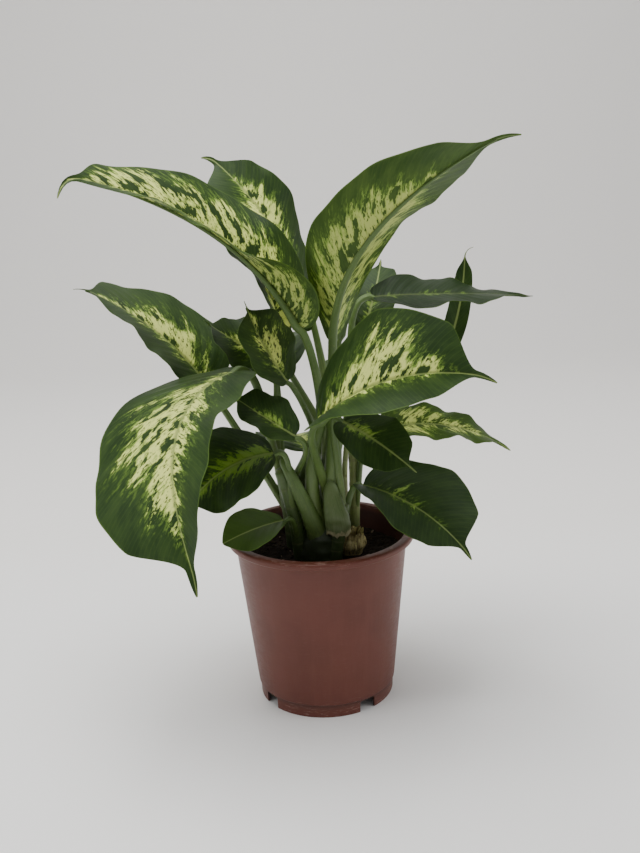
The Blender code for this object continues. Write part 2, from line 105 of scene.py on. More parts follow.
def board_material(name, lit_floor_colour, shaded_wall_colour, roughness):
    """A matt board, painted paler where the plant stands and darker farther back, as painted light
    and shade.
    """
    material = bpy.data.materials.new(name)
    material.use_nodes = True
    tree = material.node_tree
    shader = tree.nodes["Principled BSDF"]
    place, apart = tree.nodes.new("ShaderNodeTexCoord"), tree.nodes.new("ShaderNodeSeparateXYZ")
    back, mixed = tree.nodes.new("ShaderNodeMapRange"), tree.nodes.new("ShaderNodeMix")
    mixed.data_type = "RGBA"
    back.inputs["From Min"].default_value, back.inputs["From Max"].default_value = LIGHT_TO_SHADE_DEPTH
    first, second = [socket for socket in mixed.inputs if socket.enabled and socket.type == "RGBA"]
    first.default_value, second.default_value = (*lit_floor_colour, 1), (*shaded_wall_colour, 1)
    tree.links.new(place.outputs["Object"], apart.inputs[0])
    tree.links.new(apart.outputs["Y"], back.inputs["Value"])
    tree.links.new(back.outputs["Result"], mixed.inputs["Factor"])
    tree.links.new(next(o for o in mixed.outputs if o.enabled), shader.inputs["Base Color"])
    shader.inputs["Roughness"].default_value = roughness
    return material


SWEEP_WIDTH, SWEEP_FRONT, SWEEP_BACK = 6.0, -3.0, 1.7
BEND_RADIUS, BEND_STEPS, WALL_HEIGHT = 0.6, 16, 3.0
# The board's paler front tone is painted light and its darker rear tone painted shade.
LIGHT_TO_SHADE_DEPTH = (0.14, 0.30)       # the board turns from its front tone to its rear tone here

sweep = bmesh.new()
profile = [(SWEEP_FRONT, 0.0), (SWEEP_BACK - BEND_RADIUS, 0.0)]
for step in range(1, BEND_STEPS + 1):
    angle = math.radians(90 * step / BEND_STEPS)
    profile.append((SWEEP_BACK - BEND_RADIUS * (1 - math.sin(angle)),
                    BEND_RADIUS * (1 - math.cos(angle))))
profile.append((SWEEP_BACK, WALL_HEIGHT))
left = sweep.verts.new((-SWEEP_WIDTH / 2, *profile[0]))
right = sweep.verts.new((SWEEP_WIDTH / 2, *profile[0]))
edge = sweep.edges.new((left, right))
for (y0, z0), (y1, z1) in zip(profile, profile[1:]):
    made = bmesh.ops.extrude_edge_only(sweep, edges=[edge])["geom"]
    bmesh.ops.translate(sweep, vec=(0, y1 - y0, z1 - z0),
                        verts=[g for g in made if isinstance(g, bmesh.types.BMVert)])
    edge = next(g for g in made if isinstance(g, bmesh.types.BMEdge) and len(g.link_faces) == 1
                and all(abs(v.co.y - y1) < 1e-6 for v in g.verts))
bmesh.ops.recalc_face_normals(sweep, faces=sweep.faces)
# The floor colour is painted light and the wall colour painted shade.
pale_board = board_material("pale_board", (0.97, 0.965, 0.96), (0.94, 0.925, 0.905), 0.6)
backdrop = new_object("floor_sweep", sweep, [pale_board], 60)


def area_light(name, place, target, size, power, colour=(1, 1, 1)):
    data = bpy.data.lights.new(name, "AREA")
    data.shape = "RECTANGLE"
    data.size, data.size_y = size
    data.energy = power
    data.color = colour
    light = bpy.data.objects.new(name, data)
    light.location = place
    light.rotation_mode = "QUATERNION"
    light.rotation_quaternion = (Vector(target) - Vector(place)).to_track_quat("-Z", "Y")
    bpy.context.scene.collection.objects.link(light)
    return light


area_light("light_above", (-0.25, 0.05, 1.5), (0, 0, 0.15), (1.3, 1.1), 27, (1.0, 0.99, 0.97))
area_light("light_left", (-1.3, -0.5, 0.9), (0, 0, 0.2), (0.9, 0.9), 4, (0.96, 0.98, 1.0))
area_light("light_right", (1.3, -0.3, 0.8), (0, 0, 0.15), (0.8, 0.8), 5, (0.96, 0.98, 1.0))
world = bpy.data.worlds.new("soft_room")
world.use_nodes = True
world.node_tree.nodes["Background"].inputs["Color"].default_value = (1.0, 0.99, 0.97, 1)
world.node_tree.nodes["Background"].inputs["Strength"].default_value = 0.42
bpy.context.scene.world = world
print("sweep profile points:", len(profile))

# %% [markdown]
# ## A small kit for materials
#
# Every finish below is a net of shader nodes. Written out in full, such nets hide what they do,
# so this class gives short names to the few nodes that they share. Each method adds one node,
# joins what it is given, and returns the socket that carries its result.

class Finish:
    def __init__(self, name):
        self.material = bpy.data.materials.new(name)
        self.material.use_nodes = True
        self.tree = self.material.node_tree
        self.shader = self.tree.nodes["Principled BSDF"]

    def feed(self, socket, value):
        """Joins a socket to another one, or sets it to a plain number or colour."""
        if isinstance(value, bpy.types.NodeSocket):
            self.tree.links.new(value, socket)
        elif isinstance(value, tuple) and len(value) == 3 and socket.type == "RGBA":
            socket.default_value = (*value, 1)
        else:
            socket.default_value = value

    def attribute(self, name, output="Vector"):
        node = self.tree.nodes.new("ShaderNodeAttribute")
        node.attribute_name = name
        return node.outputs[output]

    def place(self):
        return self.tree.nodes.new("ShaderNodeTexCoord").outputs["Object"]

    def split(self, vector):
        node = self.tree.nodes.new("ShaderNodeSeparateXYZ")
        self.feed(node.inputs[0], vector)
        return node.outputs[0], node.outputs[1], node.outputs[2]

    def stretch(self, vector, scale, shift=(0, 0, 0)):
        node = self.tree.nodes.new("ShaderNodeMapping")
        self.feed(node.inputs["Vector"], vector)
        node.inputs["Scale"].default_value = scale
        node.inputs["Location"].default_value = shift
        return node.outputs[0]

    def speckle(self, vector, scale=1.0, detail=3.0, roughness=0.55, twist=0.0):
        """Soft random patches, around one half."""
        node = self.tree.nodes.new("ShaderNodeTexNoise")
        self.feed(node.inputs["Vector"], vector)
        node.inputs["Scale"].default_value = scale
        node.inputs["Detail"].default_value = detail
        node.inputs["Roughness"].default_value = roughness
        node.inputs["Distortion"].default_value = twist
        return node.outputs["Fac"]

    def sum(self, operation, first, second=0.0, third=0.0):
        """One step of arithmetic. MULTIPLY_ADD is first times second, plus third."""
        node = self.tree.nodes.new("ShaderNodeMath")
        node.operation = operation
        for socket, value in zip(node.inputs, (first, second, third)):
            self.feed(socket, value)
        return node.outputs[0]

    def step(self, value, low, high, start=0.0, end=1.0):
        """A soft step: start below low, end above high."""
        node = self.tree.nodes.new("ShaderNodeMapRange")
        node.interpolation_type = "SMOOTHSTEP"
        for key, number in (("Value", value), ("From Min", low), ("From Max", high),
                            ("To Min", start), ("To Max", end)):
            self.feed(node.inputs[key], number)
        return node.outputs[0]

    def blend(self, share, first, second):
        """A mixture of two colours: share 0 is the first, 1 the second."""
        node = self.tree.nodes.new("ShaderNodeMix")
        node.data_type = "RGBA"
        self.feed(node.inputs[0], share)
        self.feed(node.inputs[6], first)
        self.feed(node.inputs[7], second)
        return node.outputs[2]

    def relief(self, height, depth, strength=1.0):
        node = self.tree.nodes.new("ShaderNodeBump")
        node.inputs["Distance"].default_value = depth
        node.inputs["Strength"].default_value = strength
        self.feed(node.inputs["Height"], height)
        self.feed(self.shader.inputs["Normal"], node.outputs[0])
        return node.outputs[0]

    def surface(self, **values):
        for key, value in values.items():
            self.feed(self.shader.inputs[key.replace("_", " ")], value)

    def shine_through(self, share, colour, normal=None):
        """Lets part of the light through, as a thin leaf does."""
        through = self.tree.nodes.new("ShaderNodeBsdfTranslucent")
        self.feed(through.inputs["Color"], colour)
        if normal is not None:
            self.feed(through.inputs["Normal"], normal)
        mix = self.tree.nodes.new("ShaderNodeMixShader")
        mix.inputs[0].default_value = share
        self.tree.links.new(self.shader.outputs[0], mix.inputs[1])
        self.tree.links.new(through.outputs[0], mix.inputs[2])
        self.tree.links.new(mix.outputs[0], self.tree.nodes["Material Output"].inputs["Surface"])


# %% [markdown]
# ## The finish of a leaf
#
# A dieffenbachia blade is dark green at the margin and cream along the midrib. The two meet in a
# feathered edge: fingers of cream run out between the side veins, with a thin lime fringe, and
# dark flecks lie in the cream, drawn out along the veins. An ordinary noise pattern would be
# round spots. So every point of a blade carries a place measured along and across its own side
# veins, and the noise is stretched in those directions. The mesh also carries how far a point is
# inside the cream zone, and the habit of each leaf: how flecked it is, how creamy, how fresh, and
# for some leaves how much painted shade darkens it. A thin lime line along the margin is painted
# light, for light that shines through the thin edge.

# %% Leaf skins
def leaf_skin(name, margin, shadow, lime, cream, rib, roughness):
    """One side of a blade. Colours run from the dark margin to the cream centre."""
    skin = Finish(name)
    vein = skin.attribute("vein")
    along, aside, _ = skin.split(vein)
    zone, edge, share = skin.split(skin.attribute("blade"))
    flecked, creamy, fresh_or_shade = skin.split(skin.attribute("habit"))

    fingers = skin.speckle(skin.stretch(vein, (300, 66, 1)), detail=4, roughness=0.62, twist=0.5)
    lobes = skin.speckle(skin.stretch(vein, (85, 36, 1), (3, 5, 20)), detail=2)
    flakes = skin.speckle(skin.stretch(vein, (640, 230, 1), (1, 2, 40)), detail=3, roughness=0.7)
    reach = skin.sum("MULTIPLY_ADD", fingers, 1.15, zone)
    reach = skin.sum("MULTIPLY_ADD", lobes, 0.75, reach)
    reach = skin.sum("MULTIPLY_ADD", flakes, 0.50, reach)
    reach = skin.sum("SUBTRACT", reach, 1.30)

    blots = skin.speckle(skin.stretch(vein, (150, 90, 1), (7, 1, 60)), detail=3, roughness=0.6)
    blots = skin.sum("MULTIPLY_ADD", flakes, 0.25, blots)
    blot = skin.sum("SUBTRACT", blots, skin.sum("MULTIPLY_ADD", flecked, -0.15, 0.828))
    specks = skin.speckle(skin.stretch(vein, (560, 300, 1), (4, 8, 90)), detail=3, roughness=0.65)
    speck = skin.sum("SUBTRACT", specks, skin.sum("MULTIPLY_ADD", flecked, -0.10, 0.705))
    dark = skin.sum("MAXIMUM", skin.step(blot, 0.0, 0.02), skin.step(speck, 0.0, 0.02))
    near_dark = skin.sum("MAXIMUM", skin.step(blot, -0.07, 0.0), skin.step(speck, -0.06, 0.0))

    mottle = skin.speckle(skin.stretch(vein, (90, 60, 1), (9, 9, 80)), detail=4, roughness=0.7)
    body = skin.blend(skin.step(mottle, 0.36, 0.66), shadow, margin)
    body = skin.blend(skin.step(fresh_or_shade, 0.0, 1.0, 0.0, 0.8), body, lime)
    # A negative freshness paints shade: the leaf is mixed towards a near-black green, as painted
    # shade.
    body = skin.blend(skin.step(fresh_or_shade, -1.0, 0.0, 0.9, 0.0), body, (0.011, 0.025, 0.007))
    inside = skin.step(reach, -0.012, 0.012)
    fringe = skin.sum("MULTIPLY", skin.step(reach, -0.30, -0.02), skin.step(specks, 0.47, 0.56))
    streaks = skin.speckle(skin.stretch(vein, (1100, 60, 1), (2, 2, 7)), detail=2)
    depth = skin.sum("MULTIPLY_ADD", skin.step(reach, 0.0, 0.22), 0.85,
                     skin.sum("MULTIPLY_ADD", streaks, 0.6, -0.20))
    depth = skin.sum("MULTIPLY_ADD", skin.step(lobes, 0.35, 0.65), 0.25, depth)
    depth = skin.step(skin.sum("MULTIPLY", depth, creamy), 0.0, 0.8)
    pale = skin.blend(depth, lime, cream)
    pale = skin.blend(skin.sum("MULTIPLY", near_dark, 0.6), pale, lime)
    colour = skin.blend(skin.sum("MULTIPLY", fringe, 0.5), body, lime)
    colour = skin.blend(inside, colour, pale)
    colour = skin.blend(skin.sum("MULTIPLY", dark, inside), colour, body)

    off_rib = skin.sum("ABSOLUTE", aside)
    rib_width = skin.sum("MULTIPLY_ADD", share, -0.0008, 0.0013)
    from_rib = skin.sum("SUBTRACT", off_rib, rib_width)
    beside_rib = skin.step(from_rib, 0.0, 0.0012, 1.0, 0.0)
    colour = skin.blend(skin.sum("MULTIPLY", beside_rib, 0.35), colour, body)
    # A leaf with painted shade also gets a fainter midrib colour, as part of that painted shade.
    rib_strength = skin.step(fresh_or_shade, -1.0, 0.0, 0.15, 0.68)
    colour = skin.blend(skin.sum("MULTIPLY", skin.step(from_rib, -0.0005, 0.0001, 1.0, 0.0),
                                 rib_strength), colour, rib)
    # A thin lime line along the margin is painted light: light shining through the thin edge.
    colour = skin.blend(skin.step(edge, 0.975, 0.998, 0.0, 0.3), colour, lime)

    veins = skin.sum("SINE", skin.sum("MULTIPLY", along, math.tau / 0.0028))
    colour = skin.blend(skin.step(veins, 0.55, 1.0, 0.0, 0.05), colour, lime)
    grain = skin.speckle(skin.place(), scale=1500, detail=2)
    height = skin.sum("MULTIPLY_ADD", veins, 0.028, skin.sum("MULTIPLY", grain, 0.35))
    height = skin.sum("MULTIPLY_ADD", lobes, 1.2, height)
    normal = skin.relief(height, 0.00022, 0.8)
    gloss = skin.sum("MULTIPLY_ADD", mottle, 0.16, roughness - 0.08)
    skin.surface(Base_Color=colour, Roughness=gloss, Specular_IOR_Level=0.17)
    glow = skin.blend(0.5, colour, (0.30, 0.42, 0.05))
    skin.shine_through(0.14, glow, normal)
    return skin.material


leaf_upper = leaf_skin("leaf_upper", margin=(0.037, 0.075, 0.016), shadow=(0.019, 0.045, 0.010),
                       lime=(0.215, 0.37, 0.050), cream=(0.88, 0.95, 0.27), rib=(0.36, 0.45, 0.14),
                       roughness=0.48)
leaf_under = leaf_skin("leaf_under", margin=(0.066, 0.118, 0.024), shadow=(0.034, 0.072, 0.015),
                       lime=(0.21, 0.35, 0.055), cream=(0.54, 0.62, 0.17), rib=(0.24, 0.32, 0.10),
                       roughness=0.55)
print("leaf skins:", leaf_upper.name, leaf_under.name)

# %% [markdown]
# ## The finish of stalks and stems
#
# Stalks are smooth, pale green and finely streaked lengthways. They are lighter and yellower at
# the foot, where each one sheathes the stem. The older canes are deeper green, with faint rings
# where leaves have dropped. Close to the soil everything is painted darker, as painted shade low
# in the crown. A torn sheath is dry and whitish at its lower edge. The mesh carries its run: 0 at
# the foot of a piece and 1 at its top. The same function makes them all, because only their
# colours differ.

# %% Stalk and cane skins
POT_HEIGHT = 0.110
SOIL_TOP = POT_HEIGHT - 0.016
RING_RATE, RING_HEIGHT = 46.0, 0.0012       # rings on a cane: how close, and how high at most


def stalk_skin(name, foot, body, streak, ring_depth=0.0, torn=0.0):
    skin = Finish(name)
    run = skin.attribute("run")
    rise = skin.split(run)[0]
    streaks = skin.speckle(skin.stretch(run, (2.2, 9, 1)), detail=4, roughness=0.6)
    spots = skin.speckle(skin.place(), scale=420, detail=3, roughness=0.65)
    colour = skin.blend(skin.step(rise, 0.0, 0.55), foot, body)
    colour = skin.blend(skin.step(streaks, 0.42, 0.68, 0.0, 0.6), colour, streak)
    colour = skin.blend(skin.step(spots, 0.56, 0.70, 0.0, 0.45), colour, foot)
    colour = skin.blend(skin.step(spots, 0.30, 0.42, 0.4, 0.0), colour, streak)
    # Close to the soil every stalk and cane is painted darker: painted shade low in the crown.
    level = skin.split(skin.place())[2]
    level = skin.sum("MULTIPLY_ADD", spots, 0.012, level)
    colour = skin.blend(skin.step(level, SOIL_TOP + 0.008, SOIL_TOP + 0.034, 0.85, 0.0), colour,
                        (0.017, 0.025, 0.009))
    height = skin.sum("MULTIPLY_ADD", streaks, 0.7, skin.sum("MULTIPLY", spots, 0.3))
    if ring_depth:
        rings = skin.sum("SINE", skin.sum("MULTIPLY", rise, RING_RATE))
        rings = skin.step(rings, 0.86, 1.0)
        height = skin.sum("MULTIPLY_ADD", rings, ring_depth, height)
        colour = skin.blend(skin.sum("MULTIPLY", rings, 0.25), colour, (0.16, 0.15, 0.07))
    if torn:
        ragged = skin.sum("MULTIPLY_ADD", spots, -0.25, rise)
        colour = skin.blend(skin.step(ragged, -0.08, 0.00, torn, 0.0), colour, (0.44, 0.40, 0.24))
    skin.relief(height, 0.0004, 0.7)
    skin.surface(Base_Color=colour, Roughness=skin.step(spots, 0.3, 0.7, 0.38, 0.5),
                 Subsurface_Weight=0.0, Specular_IOR_Level=0.45)
    return skin.material


stalk_finish = stalk_skin("stalk", foot=(0.150, 0.215, 0.056), body=(0.092, 0.155, 0.034),
                          streak=(0.055, 0.105, 0.024))
cane_finish = stalk_skin("cane", foot=(0.050, 0.080, 0.020), body=(0.085, 0.140, 0.034),
                         streak=(0.038, 0.070, 0.017), ring_depth=-0.5)
pale_cane = stalk_skin("pale_cane", foot=(0.24, 0.23, 0.10), body=(0.29, 0.34, 0.13),
                       streak=(0.17, 0.22, 0.065), ring_depth=-0.5)
sheath_finish = stalk_skin("sheath", foot=(0.150, 0.185, 0.080), body=(0.110, 0.160, 0.052),
                           streak=(0.070, 0.115, 0.033), torn=0.85)
# The crown's near-black colours are painted shade at the foot of the plant.
crown_shade_finish = stalk_skin("crown", foot=(0.016, 0.022, 0.009), body=(0.030, 0.048, 0.014),
                          streak=(0.016, 0.028, 0.009))
print("stalk skins:", len([m for m in bpy.data.materials if "leaf" not in m.name]) - 1)

# %% [markdown]
# ## Where every stem and leaf is
#
# Each leaf was first drawn with a handful of numbers: where its stalk leaves the stem, where the
# blade starts, and how the midrib heads, climbs, rolls and folds on its way to the tip. The same
# numbers are used here, so the fine leaves fall exactly where the plain ones are. What is new is
# the leaf's looks: how far the cream reaches in each half, at seven places along the blade, and
# its habit, which for some leaves holds painted shade.

# %% The stems and leaves
@dataclass
class Stem:
    """A cane: the places it passes through, from under the soil up, and its two radii."""
    name: str
    path: tuple
    radii: tuple


STEMS = (
    Stem("stem_main", ((-0.001, 0.000, 0.052), (0.000, 0.000, 0.094), (0.006, -0.001, 0.140),
                       (0.009, -0.002, 0.185)), (0.0078, 0.0048)),
    Stem("stem_left", ((-0.0125, -0.006, 0.052), (-0.013, -0.006, 0.094), (-0.017, -0.008, 0.125),
                       (-0.024, -0.010, 0.155)), (0.0056, 0.0038)),
    Stem("stem_right", ((0.022, 0.015, 0.052), (0.022, 0.014, 0.094), (0.023, 0.012, 0.130),
                        (0.023, 0.010, 0.172)), (0.0040, 0.0030)),
    Stem("stem_front", ((0.007, -0.0135, 0.052), (0.0075, -0.0135, 0.094), (0.011, -0.0135, 0.112),
                        (0.0145, -0.013, 0.132)), (0.0060, 0.0042)),
    Stem("stem_back_left", ((-0.017, 0.013, 0.052), (-0.018, 0.013, 0.094), (-0.021, 0.013, 0.125),
                            (-0.026, 0.012, 0.160)), (0.0054, 0.0038)),
    Stem("stem_back", ((0.005, 0.021, 0.052), (0.005, 0.022, 0.094), (0.007, 0.024, 0.145),
                       (0.009, 0.026, 0.195)), (0.0058, 0.0042)),
)


@dataclass
class Leaf:
    """One leaf. Pairs of angles, in degrees, are at the blade's base and at its tip."""
    name: str
    stem: str           # the stem it grows from
    height: float       # where on the stem
    base: tuple         # where the stalk meets the blade
    heading: tuple      # the midrib's direction in plan, anticlockwise from +X
    pitch: tuple        # the midrib's climb
    roll: tuple         # turn about the midrib: positive lowers the right-hand half
    fold: tuple         # how far each half rises from the midrib
    length: float
    half_width: float
    left: tuple         # how far out the cream reaches in the left half, at CREAM_PLACES
    right: tuple        # and in the right half: 0 is the midrib, 1 the margin, below 0 is none
    # The habit's third number below zero is painted shade that darkens the leaf, not freshness.
    habit: tuple        # how flecked, how creamy, how fresh
    bend: float = 1.0   # below 1 the pitch changes early along the blade
    twist_end: float = 0.9      # share of the blade over which the roll changes
    hook: float = 0.0   # extra droop of the drip tip
    skew: float = 0.0   # how much wider the right-hand half is
    lobe: float = 0.12  # how far the two lobes reach behind the stalk
    tip: float = 0.92   # how sharply the blade narrows to its drip tip, 0 for a blunt blade
    wave: float = 0.0015
    waves: float = 2.5
    phase: float = 0.0


CREAM_PLACES = (0.0, 0.15, 0.30, 0.45, 0.60, 0.75, 0.90)     # shares of the blade's length

LEAVES = (
    Leaf("leaf_top_left", "stem_main", 0.150, (-0.0064, -0.012, 0.2428), (137, 247), (56, 3),
         (48, -27), (61, 8), 0.193, 0.037, left=(0.6, 0.8, 0.86, 0.86, 0.88, 0.82, 0.25),
         right=(0.3, 0.48, 0.62, 0.78, 0.9, 0.92, 0.45), habit=(1.25, 1, 0), twist_end=0.32,
         hook=64, wave=0.002, waves=3, phase=0.2, bend=1.1, skew=-0.14),
    Leaf("leaf_top_left_rear", "stem_back", 0.160, (-0.0224, 0.04, 0.2316), (159, 152), (92, 23),
         (3, -5), (31, 11), 0.083, 0.0271, left=(0.85, 0.9, 0.9, 0.85, 0.8, 0.6, 0.1),
         right=(0.85, 0.9, 0.9, 0.85, 0.8, 0.6, 0.1), habit=(0.95, 0.9, 0)),
    Leaf("leaf_top_centre", "stem_back", 0.192, (-0.005, 0.040, 0.261), (159, 150), (70, 34),
         (14, -34), (14, 8), 0.114, 0.031, left=(0.05, 0.22, 0.38, 0.44, 0.4, 0.2, -0.1),
         right=(0.05, 0.28, 0.48, 0.54, 0.48, 0.25, -0.1), habit=(0.7, 0.9, 0.0), hook=35,
         wave=0.002, phase=0.5),
    Leaf("leaf_top_right", "stem_main", 0.180, (0.0122, -0.006, 0.2346), (-79, 9), (76, 24),
         (-14, -28), (68, -1), 0.179, 0.0427, left=(0.6, 0.85, 0.92, 0.92, 0.85, 0.25, -0.3),
         right=(0.5, 0.74, 0.76, 0.74, 0.6, 0.12, -0.3), habit=(1.05, 0.85, 0), hook=26, waves=3,
         bend=0.58, twist_end=1, skew=-0.19),
    Leaf("leaf_top_right_rear", "stem_back", 0.174, (0.018, 0.044, 0.228), (22, 12), (76, 58),
         (-10, 10), (15, 10), 0.088, 0.022, left=(0.7, 0.9, 0.95, 0.9, 0.8, 0.5, 0),
         right=(0.7, 0.9, 0.95, 0.9, 0.8, 0.5, 0), habit=(0.4, 1.0, 0.0), waves=3.5, phase=0.3),
    Leaf("leaf_rear_tip", "stem_back", 0.158, (0.034, 0.054, 0.228), (60, 80), (50, 34), (8, -6),
         (12, 8), 0.066, 0.018, left=(0, 0.1, 0.15, 0.15, 0.1, 0, -0.2),
         right=(0, 0.1, 0.15, 0.15, 0.1, 0, -0.2), habit=(0.6, 0.3, 0.0)),
    Leaf("leaf_right_upper", "stem_right", 0.160, (0.040, 0.022, 0.256), (7, 12), (1, -8), (20, 3),
         (10, 0), 0.1065, 0.026, left=(-0.2, -0.1, -0.1, -0.1, -0.1, -0.1, -0.2),
         right=(-0.2, 0, 0.06, 0.04, 0, -0.1, -0.2), habit=(0.8, 0.3, -0.9), wave=0.002, waves=3,
         phase=0.6),
    Leaf("leaf_right_front", "stem_main", 0.128, (0.001, -0.038, 0.1909), (-43, -22), (42, -11),
         (33, 51), (28, 35), 0.123, 0.040, left=(0.1, 0.32, 0.52, 0.66, 0.66, 0.42, -0.1),
         right=(0.2, 0.4, 0.42, 0.38, 0.3, 0.1, -0.2), habit=(1.05, 0.9, 0), skew=-0.09,
         bend=1.1, twist_end=0.75, hook=17),
    Leaf("leaf_right_rear", "stem_right", 0.154, (0.0845, 0.058, 0.200), (12, 20), (62, 92),
         (66, 70), (14, 10), 0.088, 0.0078, left=(-0.2, 0, 0.05, 0, -0.1, -0.2, -0.2),
         right=(-0.2, 0, 0.05, 0, -0.1, -0.2, -0.2), habit=(0.6, 0.3, 0.0), hook=85),
    Leaf("leaf_right_middle", "stem_right", 0.116, (0.040, 0.004, 0.174), (4, 3), (12, -38),
         (27, 12), (12, 5), 0.090, 0.018, left=(0.6, 0.78, 0.8, 0.74, 0.55, 0.3, 0),
         right=(0.6, 0.78, 0.78, 0.72, 0.55, 0.3, 0), habit=(1.2, 0.65, 0.3), wave=0.002,
         waves=3.5),
    Leaf("leaf_small_front", "stem_front", 0.124, (0.016, -0.022, 0.187), (-48, -43), (-12, -30),
         (16, 50), (14, 10), 0.062, 0.018, left=(0.05, 0.3, 0.34, 0.2, 0, -0.2, -0.3),
         right=(0.05, 0.32, 0.34, 0.2, 0, -0.2, -0.3), habit=(0.9, 0.35, -0.2)),
    Leaf("leaf_right_low", "stem_front", 0.106, (0.0274, -0.014, 0.1429), (-36, -52), (-2, -37),
         (7, 18), (35, 13), 0.089, 0.033, left=(-0.1, 0.02, 0.06, 0.05, 0.02, -0.1, -0.3),
         right=(-0.1, 0, 0.03, 0.08, 0.02, -0.1, -0.3), habit=(0.8, 0.3, -0.35), twist_end=0.76,
         hook=10, skew=-0.03),
    Leaf("leaf_left_upper", "stem_back_left", 0.118, (-0.0703, 0.0325, 0.2016), (163, 219),
         (56, 26), (-19, -17), (21, -3), 0.109, 0.040,
         left=(0.08, 0.14, 0.18, 0.2, 0.2, 0.16, 0.04),
         right=(0.2, 0.36, 0.44, 0.5, 0.48, 0.36, 0.02), habit=(0.9, 0.95, 0), skew=0.17,
         waves=3, phase=0.4, hook=24),
    Leaf("leaf_left_front", "stem_back_left", 0.146, (-0.0483, -0.02, 0.2204), (214, 324),
         (-6, -73), (0, 74), (-11, 32), 0.157, 0.047,
         left=(0, 0.22, 0.42, 0.46, 0.42, 0.3, 0),
         right=(0, 0.28, 0.64, 0.74, 0.55, 0.3, 0.04), habit=(1.05, 1, 0), skew=0.26,
         bend=0.7, lobe=0.28, wave=0.0025, waves=3, twist_end=1, hook=12),
    Leaf("leaf_left_low", "stem_left", 0.118, (-0.027, -0.019, 0.168), (193, 195), (0, -60),
         (-18, -36), (8, 10), 0.070, 0.033, left=(0.2, 0.4, 0.42, 0.4, 0.32, 0.15, -0.1),
         right=(0.2, 0.36, 0.36, 0.32, 0.26, 0.1, -0.2), habit=(0.5, 0.15, 0.0), lobe=0.05),
    Leaf("leaf_left_middle", "stem_back_left", 0.126, (-0.013, -0.028, 0.1805), (177, 172),
         (34, 36), (-20, -18), (18, 10), 0.047, 0.022,
         left=(-0.1, 0.08, 0.22, 0.22, 0.12, -0.1, -0.3),
         right=(-0.1, 0.08, 0.18, 0.2, 0.1, -0.1, -0.3), habit=(0.8, 0.3, -0.3)),
    Leaf("leaf_left_rear", "stem_back_left", 0.154, (-0.034, 0.028, 0.222), (189, 180), (27, 40),
         (-50, -10), (8, 6), 0.042, 0.024, left=(0.1, 0.3, 0.4, 0.36, 0.2, 0, -0.2),
         right=(0.1, 0.3, 0.4, 0.36, 0.2, 0, -0.2), habit=(0.9, 0.8, 0)),
    Leaf("leaf_left_folded", "stem_back", 0.140, (-0.0165, -0.004, 0.2095), (176, 175), (55, 74),
         (-19, -27), (4, 7), 0.056, 0.0285, left=(0, 0.15, 0.35, 0.45, 0.4, 0.2, 0),
         right=(0, 0.1, 0.45, 0.7, 0.8, 0.7, 0.3), habit=(1.3, 0.8, 0), skew=0.13),
    Leaf("leaf_small_low", "stem_left", 0.104, (-0.023, -0.018, 0.124), (197, 198), (-5, -23),
         (0, -28), (8, 8), 0.041, 0.021, left=(-0.5, -0.5, -0.5, -0.5, -0.5, -0.5, -0.5),
         right=(-0.5, -0.5, -0.5, -0.5, -0.5, -0.5, -0.5), habit=(0.0, 0.2, 0.35), lobe=0.05,
         wave=0.0005, tip=0.0),
    Leaf("leaf_right_middle_rear", "stem_right", 0.142, (0.045, 0.034, 0.172), (26, 34), (-4, 4),
         (34, 6), (11, 9), 0.044, 0.017, left=(0.1, 0.35, 0.4, 0.36, 0.2, 0, -0.2),
         right=(0.1, 0.35, 0.4, 0.36, 0.2, 0, -0.2), habit=(0.8, 0.4, 0.2)),
    Leaf("leaf_rear_left", "stem_back_left", 0.134, (-0.026, 0.0435, 0.205), (105, 90), (45, -35),
         (-10, 0), (14, 8), 0.076, 0.029, left=(0.15, 0.42, 0.5, 0.5, 0.42, 0.25, -0.1),
         right=(0.15, 0.45, 0.52, 0.5, 0.4, 0.22, -0.1), habit=(0.6, 0.85, 0.0)),
    Leaf("leaf_rear_right", "stem_back", 0.130, (0.024, 0.050, 0.185), (75, 65), (40, -60),
         (10, 5), (14, 8), 0.074, 0.028, left=(0.15, 0.45, 0.52, 0.5, 0.4, 0.22, -0.1),
         right=(0.15, 0.4, 0.44, 0.42, 0.34, 0.18, -0.1), habit=(0.7, 0.8, 0.0)),
    Leaf("leaf_rear_low", "stem_back", 0.112, (-0.008, 0.046, 0.150), (100, 110), (20, -50),
         (0, 0), (12, 8), 0.076, 0.029, left=(0.1, 0.32, 0.4, 0.38, 0.3, 0.12, -0.1),
         right=(0.1, 0.35, 0.42, 0.4, 0.32, 0.12, -0.1), habit=(0.5, 0.5, 0.0)),
)
print("stems:", len(STEMS), "leaves:", len(LEAVES))

# %% [markdown]
# ## The shape of a blade
#
# A blade is drawn flat first: how far along the midrib a point of the margin lies, and how far
# out. Then it is folded along the midrib, rolled, bent and rippled. The formulas take whole
# arrays of points at once, which keeps thousands of points quick. Two things are finer than in
# the plain leaf: the blade swells softly between its side veins, and it sinks in a narrow groove
# along the midrib.

# %% Blade formulas
BLADE_THICKNESS = 0.0006
VEIN_SWEEP = 0.5        # how far a side vein runs forward for each metre that it runs out
VEIN_SPACING = 0.0075
VEIN_SWELL = 0.00024
GROOVE_DEPTH, GROOVE_WIDTH = 0.0007, 0.0013
DRIP_WIDTH = 0.075
MIDRIB_STEPS = 48


def smoothstep(low, high, value):
    t = np.clip((value - low) / (high - low), 0.0, 1.0)
    return t * t * (3.0 - 2.0 * t)


def blade_outline(share, lobe, tip):
    """Outline of a flat blade: place along the midrib and half-width, both from 0 to 1."""
    along = share - lobe * 2.2 * np.sqrt(share) * np.exp(-share / 0.12)
    across = (share / 0.41) ** 0.55 * ((1.0 - share) / 0.59) ** 0.8
    drip_tip = DRIP_WIDTH * smoothstep(0.77, 0.88, share) * np.sqrt(1.0 - share)
    return along, across + tip * (drip_tip - across * smoothstep(0.77, 0.90, share))


